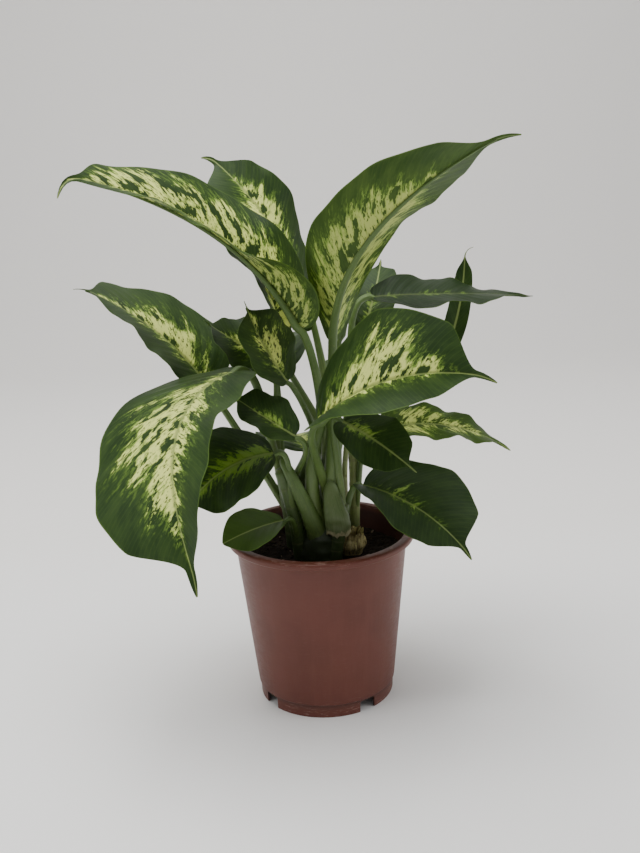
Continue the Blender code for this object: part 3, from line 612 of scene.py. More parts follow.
class Midrib:
    """The curve that a blade is folded on, with its direction, right-hand side and upper side."""

    def __init__(self, leaf):
        s = np.linspace(0.0, 1.0, MIDRIB_STEPS + 1)
        pitch = leaf.pitch[0] + (leaf.pitch[1] - leaf.pitch[0]) * s ** leaf.bend
        pitch = np.radians(pitch - leaf.hook * smoothstep(0.86, 1.0, s))
        heading = np.radians(leaf.heading[0] + (leaf.heading[1] - leaf.heading[0]) * s)
        self.forward = np.stack([np.cos(pitch) * np.cos(heading), np.cos(pitch) * np.sin(heading),
                                 np.sin(pitch)], axis=-1)
        steps = (self.forward[1:] + self.forward[:-1]) / 2 * (leaf.length / MIDRIB_STEPS)
        self.points = np.array(leaf.base) + np.concatenate([np.zeros((1, 3)), np.cumsum(steps, 0)])
        level = np.stack([np.sin(heading), -np.cos(heading), 0 * heading], axis=-1)
        above = np.cross(level, self.forward)
        turned = smoothstep(0.0, leaf.twist_end, s)
        roll = np.radians(leaf.roll[0] + (leaf.roll[1] - leaf.roll[0]) * turned)
        c, d = np.cos(roll)[:, None], np.sin(roll)[:, None]
        self.right, self.above, self.s = c * level - d * above, c * above + d * level, s

    def at(self, place):
        """Point, forward, right and above at places along the midrib, from 0 to 1."""
        return [np.stack([np.interp(place, self.s, values[:, k]) for k in range(3)], axis=-1)
                for values in (self.points, self.forward, self.right, self.above)]


def blade_places(leaf, rib, share, across, layer):
    """Where points of a blade lie. share runs from the stalk to the tip, across from the left
    edge (-1) to the right edge (1), and layer is 1 on the upper side and 0 on the underside."""
    along, width = blade_outline(share, leaf.lobe, leaf.tip)
    out = np.abs(across)
    root = share ** 1.25
    place = root + (along - root) * out ** 1.5
    inside = np.clip(place, 0.0, 1.0)
    point, ahead, right, above = rib.at(inside)
    level = leaf.half_width * width * across * (1.0 + leaf.skew * np.sign(across))
    fold = np.radians(leaf.fold[0] + (leaf.fold[1] - leaf.fold[0]) * inside)
    rise = np.abs(level) * np.sin(fold) * (1.0 - 0.25 * out)
    ripple = np.sin(math.tau * (leaf.waves * share + leaf.phase + 0.37 * (across > 0)))
    rise += leaf.wave * out ** 2 * ripple * np.sqrt(np.sin(math.pi * share))
    vein_root = share * leaf.length - VEIN_SWEEP * np.abs(level)
    frill = np.sin(math.tau * (2.7 * leaf.waves * share + 3.1 * leaf.phase + 0.21 * (across > 0)))
    rise += 0.22 * leaf.wave * out ** 5 * frill * np.sin(math.pi * share)
    soft = np.sin(math.pi * out ** 0.7) * (1.0 - share) ** 0.5
    rise += VEIN_SWELL * np.cos(math.tau * vein_root / VEIN_SPACING) * soft
    rise -= GROOVE_DEPTH * (1.0 - share) * np.exp(-(level / GROOVE_WIDTH) ** 2)
    thickness = BLADE_THICKNESS * (1.0 - 0.55 * out ** 4) * (1.0 - 0.5 * share ** 4)
    rise -= (1.0 - layer) * thickness / np.cos(fold)
    places = (point + ahead * ((place - inside) * leaf.length)[:, None]
              + right * (level * np.cos(fold))[:, None] + above * rise[:, None])
    return places, vein_root, level


def cream_zone(leaf, share, across):
    """How far inside the cream centre a point is, as a share of the half-width."""
    reach = np.where(across > 0, np.interp(share, CREAM_PLACES, leaf.right),
                     np.interp(share, CREAM_PLACES, leaf.left))
    return reach - np.abs(across)


# %% [markdown]
# ## Building a leaf
#
# The blade begins as a flat grid, extruded once so that it has two sides and a rim. At that
# moment each vertex's x, y and z say how far across, how far along and on which side it is, so
# one formula can carry it to its place. The stalk is a second grid that is rolled into a tube;
# the same tube runs on under the blade as the raised midrib. Its foot widens to clasp the cane.

# %% Grids
def grid_in_own_coordinates(bm, columns, rows):
    """A flat grid, x and y from 0 to 1."""
    made = bmesh.ops.create_grid(bm, x_segments=columns, y_segments=rows, size=0.5)["verts"]
    bmesh.ops.translate(bm, vec=(0.5, 0.5, 0), verts=made)
    return made


def coordinates(vertices):
    return np.array([v.co for v in vertices])


def put(vertices, places):
    for vertex, place in zip(vertices, places):
        vertex.co = place


def mesh_with_layers(*names):
    """An empty bmesh with its vector layers. They come first: a new layer frees old vertices."""
    bm = bmesh.new()
    for name in names:
        bm.verts.layers.float_vector.new(name)
    return bm


def write_layer(bm, name, vertices, values):
    layer = bm.verts.layers.float_vector[name]
    for vertex, value in zip(vertices, values):
        vertex[layer] = value


UPPER, UNDER, STALK = 0, 1, 2
ROW_PITCH, COLUMN_PITCH = 0.0014, 0.0016


def add_blade(bm, leaf, rib, seed):
    columns = 2 * round(leaf.half_width / COLUMN_PITCH)
    rows = round(leaf.length / ROW_PITCH)
    grid_in_own_coordinates(bm, columns, rows)
    walls = bmesh.ops.extrude_face_region(bm, geom=bm.faces[:])["geom"]
    moved = [g for g in walls if isinstance(g, bmesh.types.BMVert)]
    bmesh.ops.translate(bm, vec=(0, 0, 1), verts=moved)
    bmesh.ops.recalc_face_normals(bm, faces=bm.faces)
    bm.normal_update()
    for face in bm.faces:
        face.material_index = UNDER if face.normal.z < -0.5 else UPPER
    own = coordinates(bm.verts)
    across = 2.0 * own[:, 0] - 1.0
    eased = 0.5 - 0.5 * np.cos(math.pi * own[:, 1])
    share = np.clip(0.55 * own[:, 1] + 0.45 * eased, 0.0006, 0.994)
    places, root, level = blade_places(leaf, rib, share, across, own[:, 2])
    put(bm.verts, places)
    zeros = np.zeros_like(share)
    write_layer(bm, "vein", bm.verts, np.stack([root, level, zeros + 0.37 * seed], axis=-1))
    zone = cream_zone(leaf, share, across)
    write_layer(bm, "blade", bm.verts, np.stack([zone, np.abs(across), share], axis=-1))
    write_layer(bm, "habit", bm.verts, np.tile(leaf.habit, (len(share), 1)))


# %% The stalk, and the midrib under the blade
STALK_RADIUS, STALK_GROWTH = 0.0014, 0.0075
SHEATH_SWELL, SHEATH_LIMIT = 1.7, 0.85
STALK_ROWS, RIB_ROWS, STALK_SIDES = 30, 40, 16


def curve_through(points, steps):
    """A smooth Catmull-Rom curve through the points."""
    p = [np.array(q, float) for q in points]
    p = [2 * p[0] - p[1]] + p + [2 * p[-1] - p[-2]]
    out = []
    for i in range(1, len(p) - 2):
        for t in np.linspace(0, 1, steps, endpoint=False):
            out.append(0.5 * (2 * p[i] + (p[i + 1] - p[i - 1]) * t
                              + (2 * p[i - 1] - 5 * p[i] + 4 * p[i + 1] - p[i + 2]) * t ** 2
                              + (3 * p[i] - p[i - 1] - 3 * p[i + 1] + p[i + 2]) * t ** 3))
    out.append(p[-2])
    return np.array(out)


def stem_of(leaf):
    return next(stem for stem in STEMS if stem.name == leaf.stem)


def stem_point(stem, height):
    """Centre and direction of a stem at a height."""
    path = curve_through(stem.path, 6)
    centre, ahead, behind = [np.array([np.interp(z, path[:, 2], path[:, k]) for k in range(3)])
                             for z in (height, height + 0.004, height - 0.004)]
    direction = ahead - behind
    return centre, direction / np.linalg.norm(direction)


def stalk_curve(leaf, rib, count):
    """The stalk's centre line, from inside its stem to just behind the blade."""
    start, up = stem_point(stem_of(leaf), leaf.height)
    forward = rib.forward[0]
    end = np.array(leaf.base) - forward * 0.003
    reach = np.linalg.norm(end - start)
    outward = (end - start) / reach
    first = up + 1.2 * outward * (1, 1, 0.3)
    first /= np.linalg.norm(first)
    p1, p2 = start + first * reach * 0.35, end - forward * reach * 0.22
    t = np.linspace(0.0, 1.0, count)[:, None]
    return ((1 - t) ** 3 * start + 3 * (1 - t) ** 2 * t * p1 + 3 * (1 - t) * t ** 2 * p2
            + t ** 3 * end)


def carried_frames(points, right):
    """Right and above along a curve, carried back from its end without twisting."""
    ahead = np.gradient(points, axis=0)
    ahead /= np.linalg.norm(ahead, axis=1)[:, None]
    rights = []
    for direction in ahead[::-1]:
        right = right - direction * np.dot(right, direction)
        right = right / np.linalg.norm(right)
        rights.append(right)
    rights = np.array(rights[::-1])
    return rights, np.cross(rights, ahead)


def add_tube(bm, centres, rights, aboves, radii, flat, runs, seed, sides=STALK_SIDES,
             material=STALK):
    """Rolls a grid into a tube round a line of centres. flat squashes it from above.

    Rolled this way the faces point inwards, so each maker recalculates them in the end."""
    rows = len(centres) - 1
    made = grid_in_own_coordinates(bm, sides, rows)
    own = coordinates(made)
    row = np.rint(own[:, 1] * rows).astype(int)
    angle = math.tau * own[:, 0] - math.pi / 2
    groove = 1.0 - flat[row] * np.exp(-((angle - math.pi / 2) / 0.65) ** 2)
    places = (centres[row] + (radii[row] * np.cos(angle))[:, None] * rights[row]
              + (radii[row] * groove * np.sin(angle))[:, None] * aboves[row])
    put(made, places)
    write_layer(bm, "run", made, np.stack([runs[row], angle, 0 * angle + seed], axis=-1))
    faces = {face for vertex in made for face in vertex.link_faces}
    for face in faces:
        face.material_index = material
    bmesh.ops.remove_doubles(bm, verts=made, dist=1e-7)
    live = [v for v in made if v.is_valid]
    ends = [e for e in {e for v in live for e in v.link_edges} if e.is_boundary]
    caps = bmesh.ops.holes_fill(bm, edges=ends, sides=0)["faces"]
    for cap in caps:
        cap.material_index = material


def add_stalk(bm, leaf, rib, seed):
    stalk = stalk_curve(leaf, rib, STALK_ROWS)
    rights, aboves = carried_frames(stalk, rib.right[0])
    slim = STALK_RADIUS + STALK_GROWTH * leaf.length
    clasp = min(slim * SHEATH_SWELL, stem_of(leaf).radii[1] * SHEATH_LIMIT)
    t = np.linspace(0, 1, STALK_ROWS)
    radii = slim + (clasp - slim) * (1 - t) ** 2
    s = np.linspace(0.02, 0.93, RIB_ROWS) ** 1.2
    point, _, rib_right, rib_above = rib.at(s)
    rib_radii = 0.0003 + slim * 0.9 * (1 - s) ** 1.3
    sunk = (rib_radii * 0.55 + 0.0006)[:, None]
    add_tube(bm, np.concatenate([stalk, point - rib_above * sunk]),
             np.concatenate([rights, rib_right]), np.concatenate([aboves, rib_above]),
             np.concatenate([radii, rib_radii]),
             np.concatenate([0.35 * np.ones(STALK_ROWS), 0.6 * np.ones(RIB_ROWS)]),
             np.concatenate([t, 1 + s]), seed)
    tube = [face for face in bm.faces if face.material_index == STALK]
    bmesh.ops.recalc_face_normals(bm, faces=tube)


def dress(piece, slot, *nodes):
    """Fixes a piece to the plant, and lets it stand for the plain nodes that it replaces."""
    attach(piece, "root")
    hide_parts(*nodes)
    return piece


# %% Make the leaves
def make_leaf(leaf, seed):
    rib = Midrib(leaf)
    bm = mesh_with_layers("vein", "blade", "habit", "run")
    add_blade(bm, leaf, rib, seed)
    add_stalk(bm, leaf, rib, seed)
    made = new_object(leaf.name.replace("leaf", "fine_leaf", 1), bm,
                      [leaf_upper, leaf_under, stalk_finish], 50)
    return dress(made, "leaf", leaf.name)


leaf_triangles = 0
for number, leaf in enumerate(LEAVES):
    made = make_leaf(leaf, number)
    leaf_triangles += sum(len(p.vertices) - 2 for p in made.data.polygons)
print("leaves:", len(LEAVES), "triangles:", leaf_triangles)

# %% [markdown]
# ## The canes
#
# The short stems are plain tubes, a little thicker at each ring where a leaf once grew. Each is
# a grid rolled round its own curve, as the stalks are. The cane on the right is older and paler.

# %% Make the canes
def make_cane(stem, finish):
    centres = curve_through(stem.path, 14)
    rows = len(centres)
    low, high = stem.radii
    rise = np.linspace(0, 1, rows)
    rings = np.clip(np.sin(rise * RING_RATE) - 0.8, 0, 1) * RING_HEIGHT
    radii = low + (high - low) * rise + rings
    radii[-1] *= 0.55
    rights, aboves = carried_frames(centres, np.array((1.0, 0, 0)))
    bm = mesh_with_layers("run")
    add_tube(bm, centres, rights, aboves, radii, 0 * rise, rise, len(stem.name), material=0)
    bmesh.ops.recalc_face_normals(bm, faces=bm.faces)
    return dress(new_object(f"fine_{stem.name}", bm, [finish], 50), "stem", stem.name)


for stem in STEMS:
    make_cane(stem, pale_cane if stem.name == "stem_right" else cane_finish)
print("canes:", len(STEMS))

# %% [markdown]
# ## Sheaths and the crown
#
# Low down, every leaf stalk widens into a sheath that clasps the cane, and older sheaths stay on
# after their leaves have gone. They fill the gaps between the canes, so that the plant rises from
# the soil as one thick crown. Each sheath is a tube along its own line, rounded off at its top
# and pressed flatter than it is wide. The crown is a short swelling with lumps, coloured near
# black as painted shade at the foot of the plant.

# %% Make the sheaths
@dataclass
class Sheath:
    """A clasping stalk foot: places it passes through, from below, and its half-widths there."""
    name: str
    path: tuple
    widths: tuple
    finish: object
    depth: float = 1.0      # thickness over width
    lumps: float = 0.0      # how far its surface swells and sinks
    ragged: float = 0.0     # how far its lower edge is torn


SHEATHS = (
    Sheath("crown", ((-0.0010, -0.005, 0.080), (-0.0004, -0.0062, 0.093), (0.0008, -0.0064, 0.105),
                     (0.0022, -0.0060, 0.1185)),
           (0.0142, 0.0138, 0.0128, 0.0086), crown_shade_finish, 1.0, 0.0016),
    Sheath("sheath_centre", ((0.0045, -0.0055, 0.096), (0.0083, -0.0085, 0.1385),
                             (0.0100, -0.0088, 0.162), (0.0108, -0.0080, 0.182),
                             (0.0096, -0.0035, 0.199)),
           (0.0070, 0.0058, 0.0052, 0.0047, 0.0026), stalk_finish, 0.95, 0.0002),
    Sheath("sheath_front", ((0.0112, -0.0185, 0.1135), (0.0104, -0.0200, 0.1240),
                            (0.0084, -0.0185, 0.1350), (0.0064, -0.0150, 0.1475)),
           (0.0078, 0.0078, 0.0060, 0.0034), sheath_finish, 0.55, 0.0009, 0.0035),
    Sheath("sheath_left", ((0.0010, -0.0085, 0.0960), (-0.0030, -0.0130, 0.1150),
                           (-0.0100, -0.0150, 0.1345), (-0.0172, -0.0145, 0.1520),
                           (-0.0228, -0.0125, 0.1635)),
           (0.0080, 0.0064, 0.0047, 0.0037, 0.0026), stalk_finish, 0.75, 0.0005),
    Sheath("sheath_mid", ((0.0002, -0.0080, 0.104), (-0.0043, -0.0105, 0.138),
                          (-0.0026, -0.0115, 0.1637), (0.0030, -0.0105, 0.183),
                          (0.0070, -0.0050, 0.198)),
           (0.0064, 0.0046, 0.0036, 0.0030, 0.0020), stalk_finish, 0.95, 0.0003),
    Sheath("sheath_rear", ((-0.0050, 0.0050, 0.092), (-0.0098, 0.0040, 0.125),
                           (-0.0080, 0.0020, 0.150), (-0.0010, 0.0000, 0.172),
                           (0.0060, -0.0010, 0.188)),
           (0.0060, 0.0052, 0.0042, 0.0034, 0.0022), cane_finish, 0.9, 0.0003),
    Sheath("sheath_right", ((0.0150, 0.0045, 0.092), (0.0164, 0.0042, 0.1278),
                            (0.0170, 0.0045, 0.1483), (0.0190, 0.0060, 0.166),
                            (0.0218, 0.0085, 0.1765)),
           (0.0026, 0.0020, 0.0018, 0.0017, 0.0014), pale_cane, 1.0),
)
SHEATH_SIDES, ROUNDED_SHARE, TORN_HEIGHT = 32, 0.12, 0.008


def make_sheath(sheath):
    centres = curve_through(sheath.path, 12)
    rise = np.linspace(0, 1, len(centres))
    widths = np.interp(rise, np.linspace(0, 1, len(sheath.widths)), sheath.widths)
    rounded = np.clip((rise - 1 + ROUNDED_SHARE) / ROUNDED_SHARE, 0, 0.97)
    widths = widths * np.sqrt(1 - rounded ** 2)
    rights, aboves = carried_frames(centres, np.array((1.0, 0, 0)))
    bm = mesh_with_layers("run")
    add_tube(bm, centres, rights, aboves * sheath.depth, widths, 0 * rise, rise,
             len(sheath.name), sides=SHEATH_SIDES, material=0)
    bm.normal_update()
    foot = sheath.path[0][2]
    for vertex in bm.verts:
        lump = noise.noise(vertex.co * 170) * sheath.lumps
        low = max(0.0, 1 - (vertex.co.z - foot) / TORN_HEIGHT)
        vertex.co += vertex.normal * lump
        vertex.co.z += low * noise.noise(Vector((vertex.co.x * 420, 3.0, 0.5))) * sheath.ragged
    bmesh.ops.recalc_face_normals(bm, faces=bm.faces)
    piece = new_object(sheath.name, bm, [sheath.finish], 50)
    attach(piece, "root")
    return piece


for sheath in SHEATHS:
    make_sheath(sheath)
print("sheaths:", len(SHEATHS))

# %% [markdown]
# ## The pot
#
# The pot is one thin moulding of brown plastic: a rounded rim that stands proud of the wall, a
# wall that tapers, a small step, and a skirt with four notches that lift the drain holes off
# the table. A turned shape is a profile spun round an axis, which the spin operator does. The
# notches and holes are cut afterwards with Booleans. Cutting them by hand into the spun faces
# would leave their edges tied to the spin's steps.

# %% Pot sizes
RIM_RADIUS, RIM_THICKNESS, RIM_ROUNDING = 0.060, 0.0046, 0.0016
BODY_TOP_RADIUS, BODY_BASE_RADIUS = 0.0552, 0.0450
FOOT_RADIUS, FOOT_HEIGHT = 0.0438, 0.0088
WALL, FLOOR_THICKNESS, EASE = 0.0014, 0.0016, 0.0006
NOTCH_WIDTH, NOTCH_TOP, NOTCH_TURNS = 0.0115, 0.0076, (-55, 35, 125, 215)
DRAIN_RADIUS, DRAIN_CIRCLE, DRAIN_COUNT = 0.0035, 0.028, 6
POT_SPIN_STEPS = 144


def outer_wall_radius(height):
    """Outside of the tapering wall, from the step above the foot to the rim."""
    share = (height - FOOT_HEIGHT) / (POT_HEIGHT - RIM_THICKNESS - FOOT_HEIGHT)
    return BODY_BASE_RADIUS + (BODY_TOP_RADIUS - BODY_BASE_RADIUS) * share


def arc(centre, radius, start, end, steps):
    """Points on an arc of a profile, angles in degrees."""
    angles = np.radians(np.linspace(start, end, steps))
    return [(centre[0] + radius * math.cos(a), centre[1] + radius * math.sin(a)) for a in angles]


def pot_profile():
    """The wall's outline, up the outside, over the rim and down the inside to the floor."""
    under = POT_HEIGHT - RIM_THICKNESS
    edge = RIM_RADIUS - RIM_ROUNDING
    floor = FOOT_HEIGHT + FLOOR_THICKNESS
    inner = outer_wall_radius(POT_HEIGHT) - WALL
    corner = 0.0004
    points = arc((FOOT_RADIUS - WALL + corner, corner), corner, 180, 270, 4)
    points += arc((FOOT_RADIUS - corner, corner), corner, 270, 360, 4)
    points += [(FOOT_RADIUS + EASE / 2, FOOT_HEIGHT - corner)]
    points += arc((BODY_BASE_RADIUS - EASE, FOOT_HEIGHT + EASE), EASE, 300, 360, 4)
    heights = np.linspace(FOOT_HEIGHT + 3 * EASE, under - 4 * EASE, 9)
    points += [(outer_wall_radius(h), h) for h in heights]
    points += arc((BODY_TOP_RADIUS + 2 * corner, under - 2 * corner), 2 * corner, 180, 90, 4)
    points += arc((edge, under + RIM_ROUNDING), RIM_ROUNDING, -80, 0, 6)
    points += arc((edge, POT_HEIGHT - RIM_ROUNDING), RIM_ROUNDING, 0, 90, 6)
    points += arc((inner + EASE, POT_HEIGHT - EASE), EASE, 90, 180, 4)
    points += [(outer_wall_radius(h) - WALL, h) for h in np.linspace(0.095, 0.020, 4)]
    inner_corner = (outer_wall_radius(floor) - WALL - 3 * EASE, floor + 3 * EASE)
    points += arc(inner_corner, 3 * EASE, 0, -90, 5)
    points += [(0.0, floor), (0.0, FOOT_HEIGHT)]
    points += arc((FOOT_RADIUS - WALL - EASE, FOOT_HEIGHT - EASE), EASE, 90, 0, 4)
    return points


def spun(name, points, steps, materials, smooth=35):
    """A closed profile of (radius, height) points, spun once round the Z axis."""
    bm = bmesh.new()
    loop = [bm.verts.new((r, 0.0, z)) for r, z in points]
    edges = [bm.edges.new(pair) for pair in zip(loop, loop[1:] + loop[:1])]
    bmesh.ops.spin(bm, geom=loop + edges, cent=(0, 0, 0), axis=(0, 0, 1), angle=math.tau,
                   steps=steps, use_merge=True)
    bmesh.ops.remove_doubles(bm, verts=bm.verts, dist=1e-6)
    bmesh.ops.recalc_face_normals(bm, faces=bm.faces)
    return new_object(name, bm, materials, smooth)


def cut_away(piece, cutter_mesh):
    """Cuts a closed bmesh out of a piece for good, and removes the cutter."""
    cutter = new_object("cutter", cutter_mesh, [])
    boolean = piece.modifiers.new("cut", "BOOLEAN")
    boolean.operation, boolean.solver, boolean.object = "DIFFERENCE", "EXACT", cutter
    graph = bpy.context.evaluated_depsgraph_get()
    result = bpy.data.meshes.new_from_object(piece.evaluated_get(graph))
    piece.modifiers.clear()
    piece.data = result
    bpy.data.objects.remove(cutter)


# %% [markdown]
# Thin coloured plastic of this kind has a satin face with a very fine grain, faint upright
# streaks where the melt flowed, and pale scuffs where pots are stacked and rubbed: along the
# rim and round the foot. Inside, above the soil, the wall is painted darker, as painted shade
# inside the pot.

# %% Pot finish
def pot_skin():
    skin = Finish("pot_plastic")
    place = skin.place()
    x, y, z = skin.split(place)
    angle = skin.sum("ARCTAN2", y, x)
    squares = skin.sum("ADD", skin.sum("POWER", x, 2.0), skin.sum("POWER", y, 2.0))
    radius = skin.sum("POWER", squares, 0.5)
    join = skin.tree.nodes.new("ShaderNodeCombineXYZ")
    skin.feed(join.inputs[0], skin.sum("SINE", angle))
    skin.feed(join.inputs[1], skin.sum("COSINE", angle))
    skin.feed(join.inputs[2], skin.sum("MULTIPLY", z, 3.0))
    flow = skin.speckle(join.outputs[0], scale=9, detail=4, roughness=0.6)
    clouds = skin.speckle(place, scale=24, detail=3)
    grain = skin.speckle(place, scale=2600, detail=2)
    scuffs = skin.speckle(skin.stretch(place, (1, 1, 6)), scale=160, detail=5, roughness=0.75)
    colour = skin.blend(skin.step(clouds, 0.35, 0.65), (0.104, 0.0260, 0.0150),
                        (0.121, 0.0315, 0.0190))
    colour = skin.blend(skin.step(flow, 0.45, 0.75, 0.0, 0.35), colour, (0.142, 0.041, 0.026))
    near_foot = skin.step(z, 0.004, 0.014, 1.0, 0.0)
    near_rim = skin.step(z, POT_HEIGHT - 0.0035, POT_HEIGHT - 0.0004)
    rubbed = skin.sum("ADD", skin.sum("MULTIPLY", near_foot, 0.55),
                      skin.sum("MULTIPLY", near_rim, 0.4))
    scuffed = skin.sum("MULTIPLY", skin.step(scuffs, 0.52, 0.66), skin.sum("ADD", rubbed, 0.04))
    colour = skin.blend(scuffed, colour, (0.34, 0.20, 0.17))
    # The inner wall above the soil is painted darker: painted shade inside the pot.
    inside = skin.step(skin.sum("MULTIPLY_ADD", z, -0.106, radius), 0.0431, 0.0435, 1.0, 0.0)
    below_rim = skin.step(z, POT_HEIGHT - 0.005, POT_HEIGHT - 0.002, 1.0, 0.0)
    inside = skin.sum("MULTIPLY", inside, below_rim)
    colour = skin.blend(skin.sum("MULTIPLY", inside, 0.72), colour, (0.035, 0.016, 0.012))
    height = skin.sum("MULTIPLY_ADD", grain, 0.5, skin.sum("MULTIPLY", flow, 1.6))
    skin.relief(height, 0.00012, 0.6)
    skin.surface(Base_Color=colour, Roughness=skin.step(scuffs, 0.3, 0.7, 0.40, 0.54),
                 Specular_IOR_Level=0.36)
    return skin.material


# %% Make the pot
def make_pot():
    pot = spun("fine_pot", pot_profile(), POT_SPIN_STEPS, [pot_skin()])
    for turn in NOTCH_TURNS:
        block = bmesh.new()
        bmesh.ops.create_cube(block, size=1.0)
        bmesh.ops.scale(block, vec=(NOTCH_WIDTH, 12 * WALL, NOTCH_TOP + WALL), verts=block.verts)
        bmesh.ops.translate(block, vec=(0, -FOOT_RADIUS, (NOTCH_TOP - WALL) / 2),
                            verts=block.verts)
        upright = [e for e in block.edges if abs((e.verts[0].co - e.verts[1].co).y) > WALL
                   and e.verts[0].co.z > 0]
        bmesh.ops.bevel(block, geom=upright, offset=0.0012, offset_type="OFFSET", affect="EDGES",
                        segments=3, profile=0.5, material=-1)
        bmesh.ops.rotate(block, cent=(0, 0, 0), matrix=Matrix.Rotation(math.radians(turn), 3, "Z"),
                         verts=block.verts)
        cut_away(pot, block)
    pegs = bmesh.new()
    for hole in range(DRAIN_COUNT):
        turn = math.tau * (hole + 0.5) / DRAIN_COUNT
        middle = Vector((DRAIN_CIRCLE * math.cos(turn), DRAIN_CIRCLE * math.sin(turn),
                         FOOT_HEIGHT + FLOOR_THICKNESS / 2))
        bmesh.ops.create_cone(pegs, cap_ends=True, segments=24, radius1=DRAIN_RADIUS,
                              radius2=DRAIN_RADIUS, depth=4 * FLOOR_THICKNESS,
                              matrix=Matrix.Translation(middle))
    cut_away(pot, pegs)
    pot.data.shade_smooth()
    pot.data.set_sharp_from_angle(angle=math.radians(35))
    return dress(pot, "pot", "pot")


pot = make_pot()
print("pot faces:", len(pot.data.polygons))

# %% [markdown]
# ## The soil
#
# The compost is nearly black and crumbly, with splinters of bark and a few pale grains. Its top
# is a disc of fine grid pushed up and down by noise at three scales, so that it has hollows,
# crumbs and grit. The bits that lie on it are small stones made from an icosphere, each squashed
# and turned by a seeded draw. They are one mesh, because they are all one finish.

# %% Soil finish
def soil_skin():
    skin = Finish("compost")
    place = skin.place()
    tone = skin.attribute("tone", "Fac")
    crumbs = skin.speckle(place, scale=520, detail=5, roughness=0.75)
    damp = skin.speckle(place, scale=45, detail=3)
    colour = skin.blend(skin.step(crumbs, 0.36, 0.68), (0.0055, 0.0036, 0.0026),
                        (0.032, 0.019, 0.012))
    colour = skin.blend(skin.step(damp, 0.4, 0.65, 0.0, 0.5), colour, (0.014, 0.010, 0.008))
    colour = skin.blend(tone, colour, (0.20, 0.15, 0.11))
    flecks = skin.speckle(place, scale=900, detail=2, roughness=0.4)
    colour = skin.blend(skin.step(flecks, 0.72, 0.76, 0.0, 0.35), colour, (0.22, 0.19, 0.16))
    skin.relief(crumbs, 0.0012, 0.9)
    skin.surface(Base_Color=colour, Roughness=skin.step(damp, 0.35, 0.65, 0.75, 0.95),
                 Specular_IOR_Level=0.15)
    return skin.material


def soil_height(x, y):
    """Ups and downs of the compost's top, in metres."""
    here = Vector((x, y, 0.0))
    return (0.0016 * noise.noise(here * 45) + 0.0011 * noise.noise(here * 160 + Vector((5, 0, 0)))
            + 0.0006 * noise.noise(here * 430 + Vector((0, 9, 0))))


# %% Make the soil
SOIL_GRID, SOIL_BITS = 130, 420
SOIL_RADIUS = outer_wall_radius(SOIL_TOP) - WALL - 0.0002


def make_soil():
    bm = bmesh.new()
    tone = bm.verts.layers.float.new("tone")
    bmesh.ops.create_grid(bm, x_segments=SOIL_GRID, y_segments=SOIL_GRID, size=1.0)
    for vertex in bm.verts:
        x, y = vertex.co.x, vertex.co.y
        disc = Vector((x * math.sqrt(1 - y * y / 2), y * math.sqrt(1 - x * x / 2), 0.0))
        vertex.co = disc * SOIL_RADIUS
        vertex.co.z = SOIL_TOP + soil_height(vertex.co.x, vertex.co.y)
        vertex[tone] = 0.0
    rim = [e for e in bm.edges if e.is_boundary]
    skirt = bmesh.ops.extrude_edge_only(bm, edges=rim)["geom"]
    floor = FOOT_HEIGHT + FLOOR_THICKNESS + 0.0003
    narrow = (outer_wall_radius(floor) - WALL - 0.003) / SOIL_RADIUS
    for vertex in (g for g in skirt if isinstance(g, bmesh.types.BMVert)):
        vertex.co = Vector((vertex.co.x * narrow, vertex.co.y * narrow, floor))
    bmesh.ops.holes_fill(bm, edges=[e for e in bm.edges if e.is_boundary], sides=0)
    bmesh.ops.recalc_face_normals(bm, faces=bm.faces)
    return dress(new_object("fine_soil", bm, [compost], 60), "soil", "soil")


def make_soil_bits():
    chance = np.random.default_rng(11)
    bm = bmesh.new()
    tone = bm.verts.layers.float.new("tone")
    for _ in range(SOIL_BITS):
        away = SOIL_RADIUS * 0.97 * math.sqrt(chance.random())
        turn = math.tau * chance.random()
        x, y = away * math.cos(turn), away * math.sin(turn)
        size = 0.0004 + 0.0011 * chance.random() ** 2
        splinter = chance.random() < 0.35
        shape = (size * (3.0 if splinter else 1.2), size * 0.9, size * (0.5 if splinter else 0.8))
        made = bmesh.ops.create_icosphere(bm, subdivisions=1, radius=1.0)["verts"]
        for vertex in made:
            vertex.co = vertex.co * (1 + 0.35 * (chance.random() - 0.5))
        bmesh.ops.scale(bm, vec=shape, verts=made)
        turn_it = (Matrix.Rotation(math.tau * chance.random(), 3, "Z")
                   @ Matrix.Rotation(0.5 * (chance.random() - 0.5), 3, "Y"))
        bmesh.ops.rotate(bm, cent=(0, 0, 0), matrix=turn_it, verts=made)
        rest = SOIL_TOP + soil_height(x, y) + size * 0.25
        bmesh.ops.translate(bm, vec=(x, y, rest), verts=made)
        pale = chance.choice((0.0, 0.05, 0.25, 0.9), p=(0.4, 0.35, 0.2, 0.05))
        for vertex in made:
            vertex[tone] = pale
    bits = new_object("soil_bits", bm, [compost], 20)
    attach(bits, "root")
    return bits


compost = soil_skin()
soil = make_soil()
bits = make_soil_bits()
print("soil faces:", len(soil.data.polygons), "bits:", SOIL_BITS)

# %% [markdown]
# ## The stump
#
# On the right an old cane was cut off low. It has dried to a crumpled, papery tan knob, wider
# above the soil than in it. The grid is rolled up the outside and a little way down the inside,
# which leaves a ragged, hollow-looking end. Noise then crumples it: coarse for the creases and
# fine for the torn edge.

# %% Make the stump
STUMP_PATH = ((0.019, -0.002, 0.070), (0.0195, -0.002, 0.094), (0.0215, -0.003, 0.1105))
STUMP_RADII = (0.0056, 0.0080)
STUMP_MIDDLE, STUMP_SIDES = (0.0203, -0.0025), 48
LIP_ROWS = 7                    # rows that turn in over the torn end and go down inside


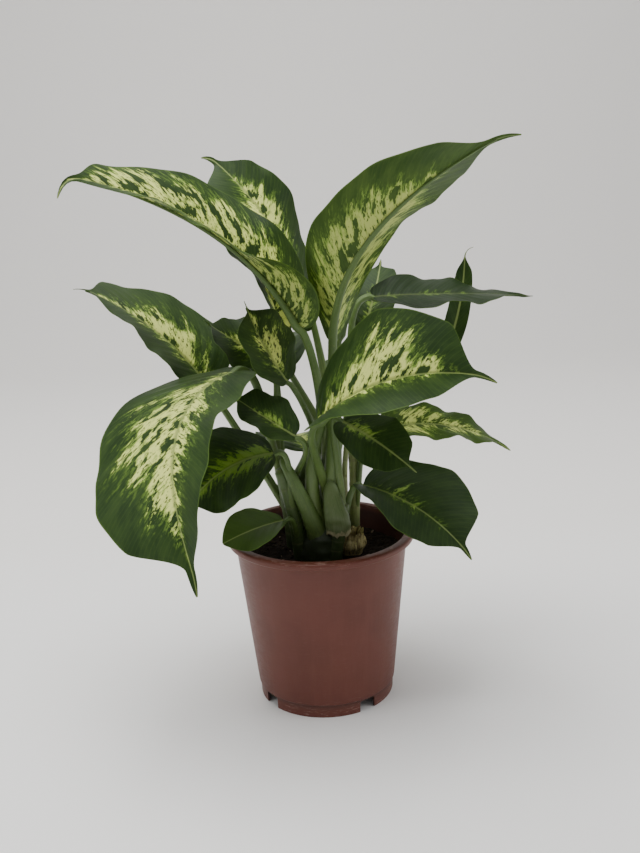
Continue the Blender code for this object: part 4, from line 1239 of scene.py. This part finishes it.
def stump_skin():
    skin = Finish("dry_cane")
    creases_and_shade = skin.speckle(skin.stretch(skin.attribute("run"), (2.0, 3.2, 1)), detail=6,
                           roughness=0.7, twist=0.8)
    fibres = skin.speckle(skin.stretch(skin.place(), (1, 1, 0.25)), scale=900, detail=4,
                          roughness=0.7)
    # Where the crease noise is low the colour is dark brown: painted shade in the creases.
    colour = skin.blend(skin.step(creases_and_shade, 0.36, 0.64), (0.170, 0.125, 0.045),
                        (0.520, 0.440, 0.190))
    colour = skin.blend(skin.step(fibres, 0.48, 0.66, 0.0, 0.7), colour, (0.70, 0.62, 0.32))
    colour = skin.blend(skin.step(fibres, 0.36, 0.44, 0.7, 0.0), colour, (0.075, 0.050, 0.022))
    skin.relief(skin.sum("ADD", creases_and_shade, skin.sum("MULTIPLY", fibres, 0.5)), 0.0012, 1.0)
    skin.surface(Base_Color=colour, Roughness=skin.step(fibres, 0.3, 0.7, 0.7, 0.95),
                 Specular_IOR_Level=0.3)
    return skin.material


def make_stump():
    outside = curve_through(STUMP_PATH, 12)
    rights, aboves = carried_frames(outside, np.array((1.0, 0, 0)))
    centres, rise, rights, aboves = [
        np.concatenate([rows, rows[::-1][1:LIP_ROWS + 1]])
        for rows in (outside, np.linspace(0, 1, len(outside)), rights, aboves)]
    radii = STUMP_RADII[0] + (STUMP_RADII[1] - STUMP_RADII[0]) * rise
    radii[-LIP_ROWS:] -= 0.0011 + 0.0004 * np.arange(LIP_ROWS)
    bm = mesh_with_layers("run")
    add_tube(bm, centres, rights, aboves, radii, 0 * rise, rise, 3.0, sides=STUMP_SIDES,
             material=0)
    for vertex in bm.verts:
        outward = (vertex.co - Vector((*STUMP_MIDDLE, vertex.co.z))).normalized()
        high = max(0.0, (vertex.co.z - SOIL_TOP) / 0.014)
        crease = noise.noise(outward * 1.6 + Vector((0, 0, vertex.co.z * 120)))
        fine = noise.noise(outward * 4 + Vector((0, 0, vertex.co.z * 420)))
        swell = 0.0026 * math.sin(math.pi * min(1.0, high)) + 0.0016 * crease + 0.0007 * fine
        vertex.co += outward * swell * min(1.0, high * 2)
        vertex.co += Vector((-0.0010, -0.0016, 0.0)) * min(1.0, high * 2)
        vertex.co.z += high ** 3 * 0.0016 * (fine + crease - 0.45)
    bmesh.ops.recalc_face_normals(bm, faces=bm.faces)
    return dress(new_object("fine_stump", bm, [stump_skin()], 60), "stump", "stump")


stump = make_stump()
print("stump faces:", len(stump.data.polygons))
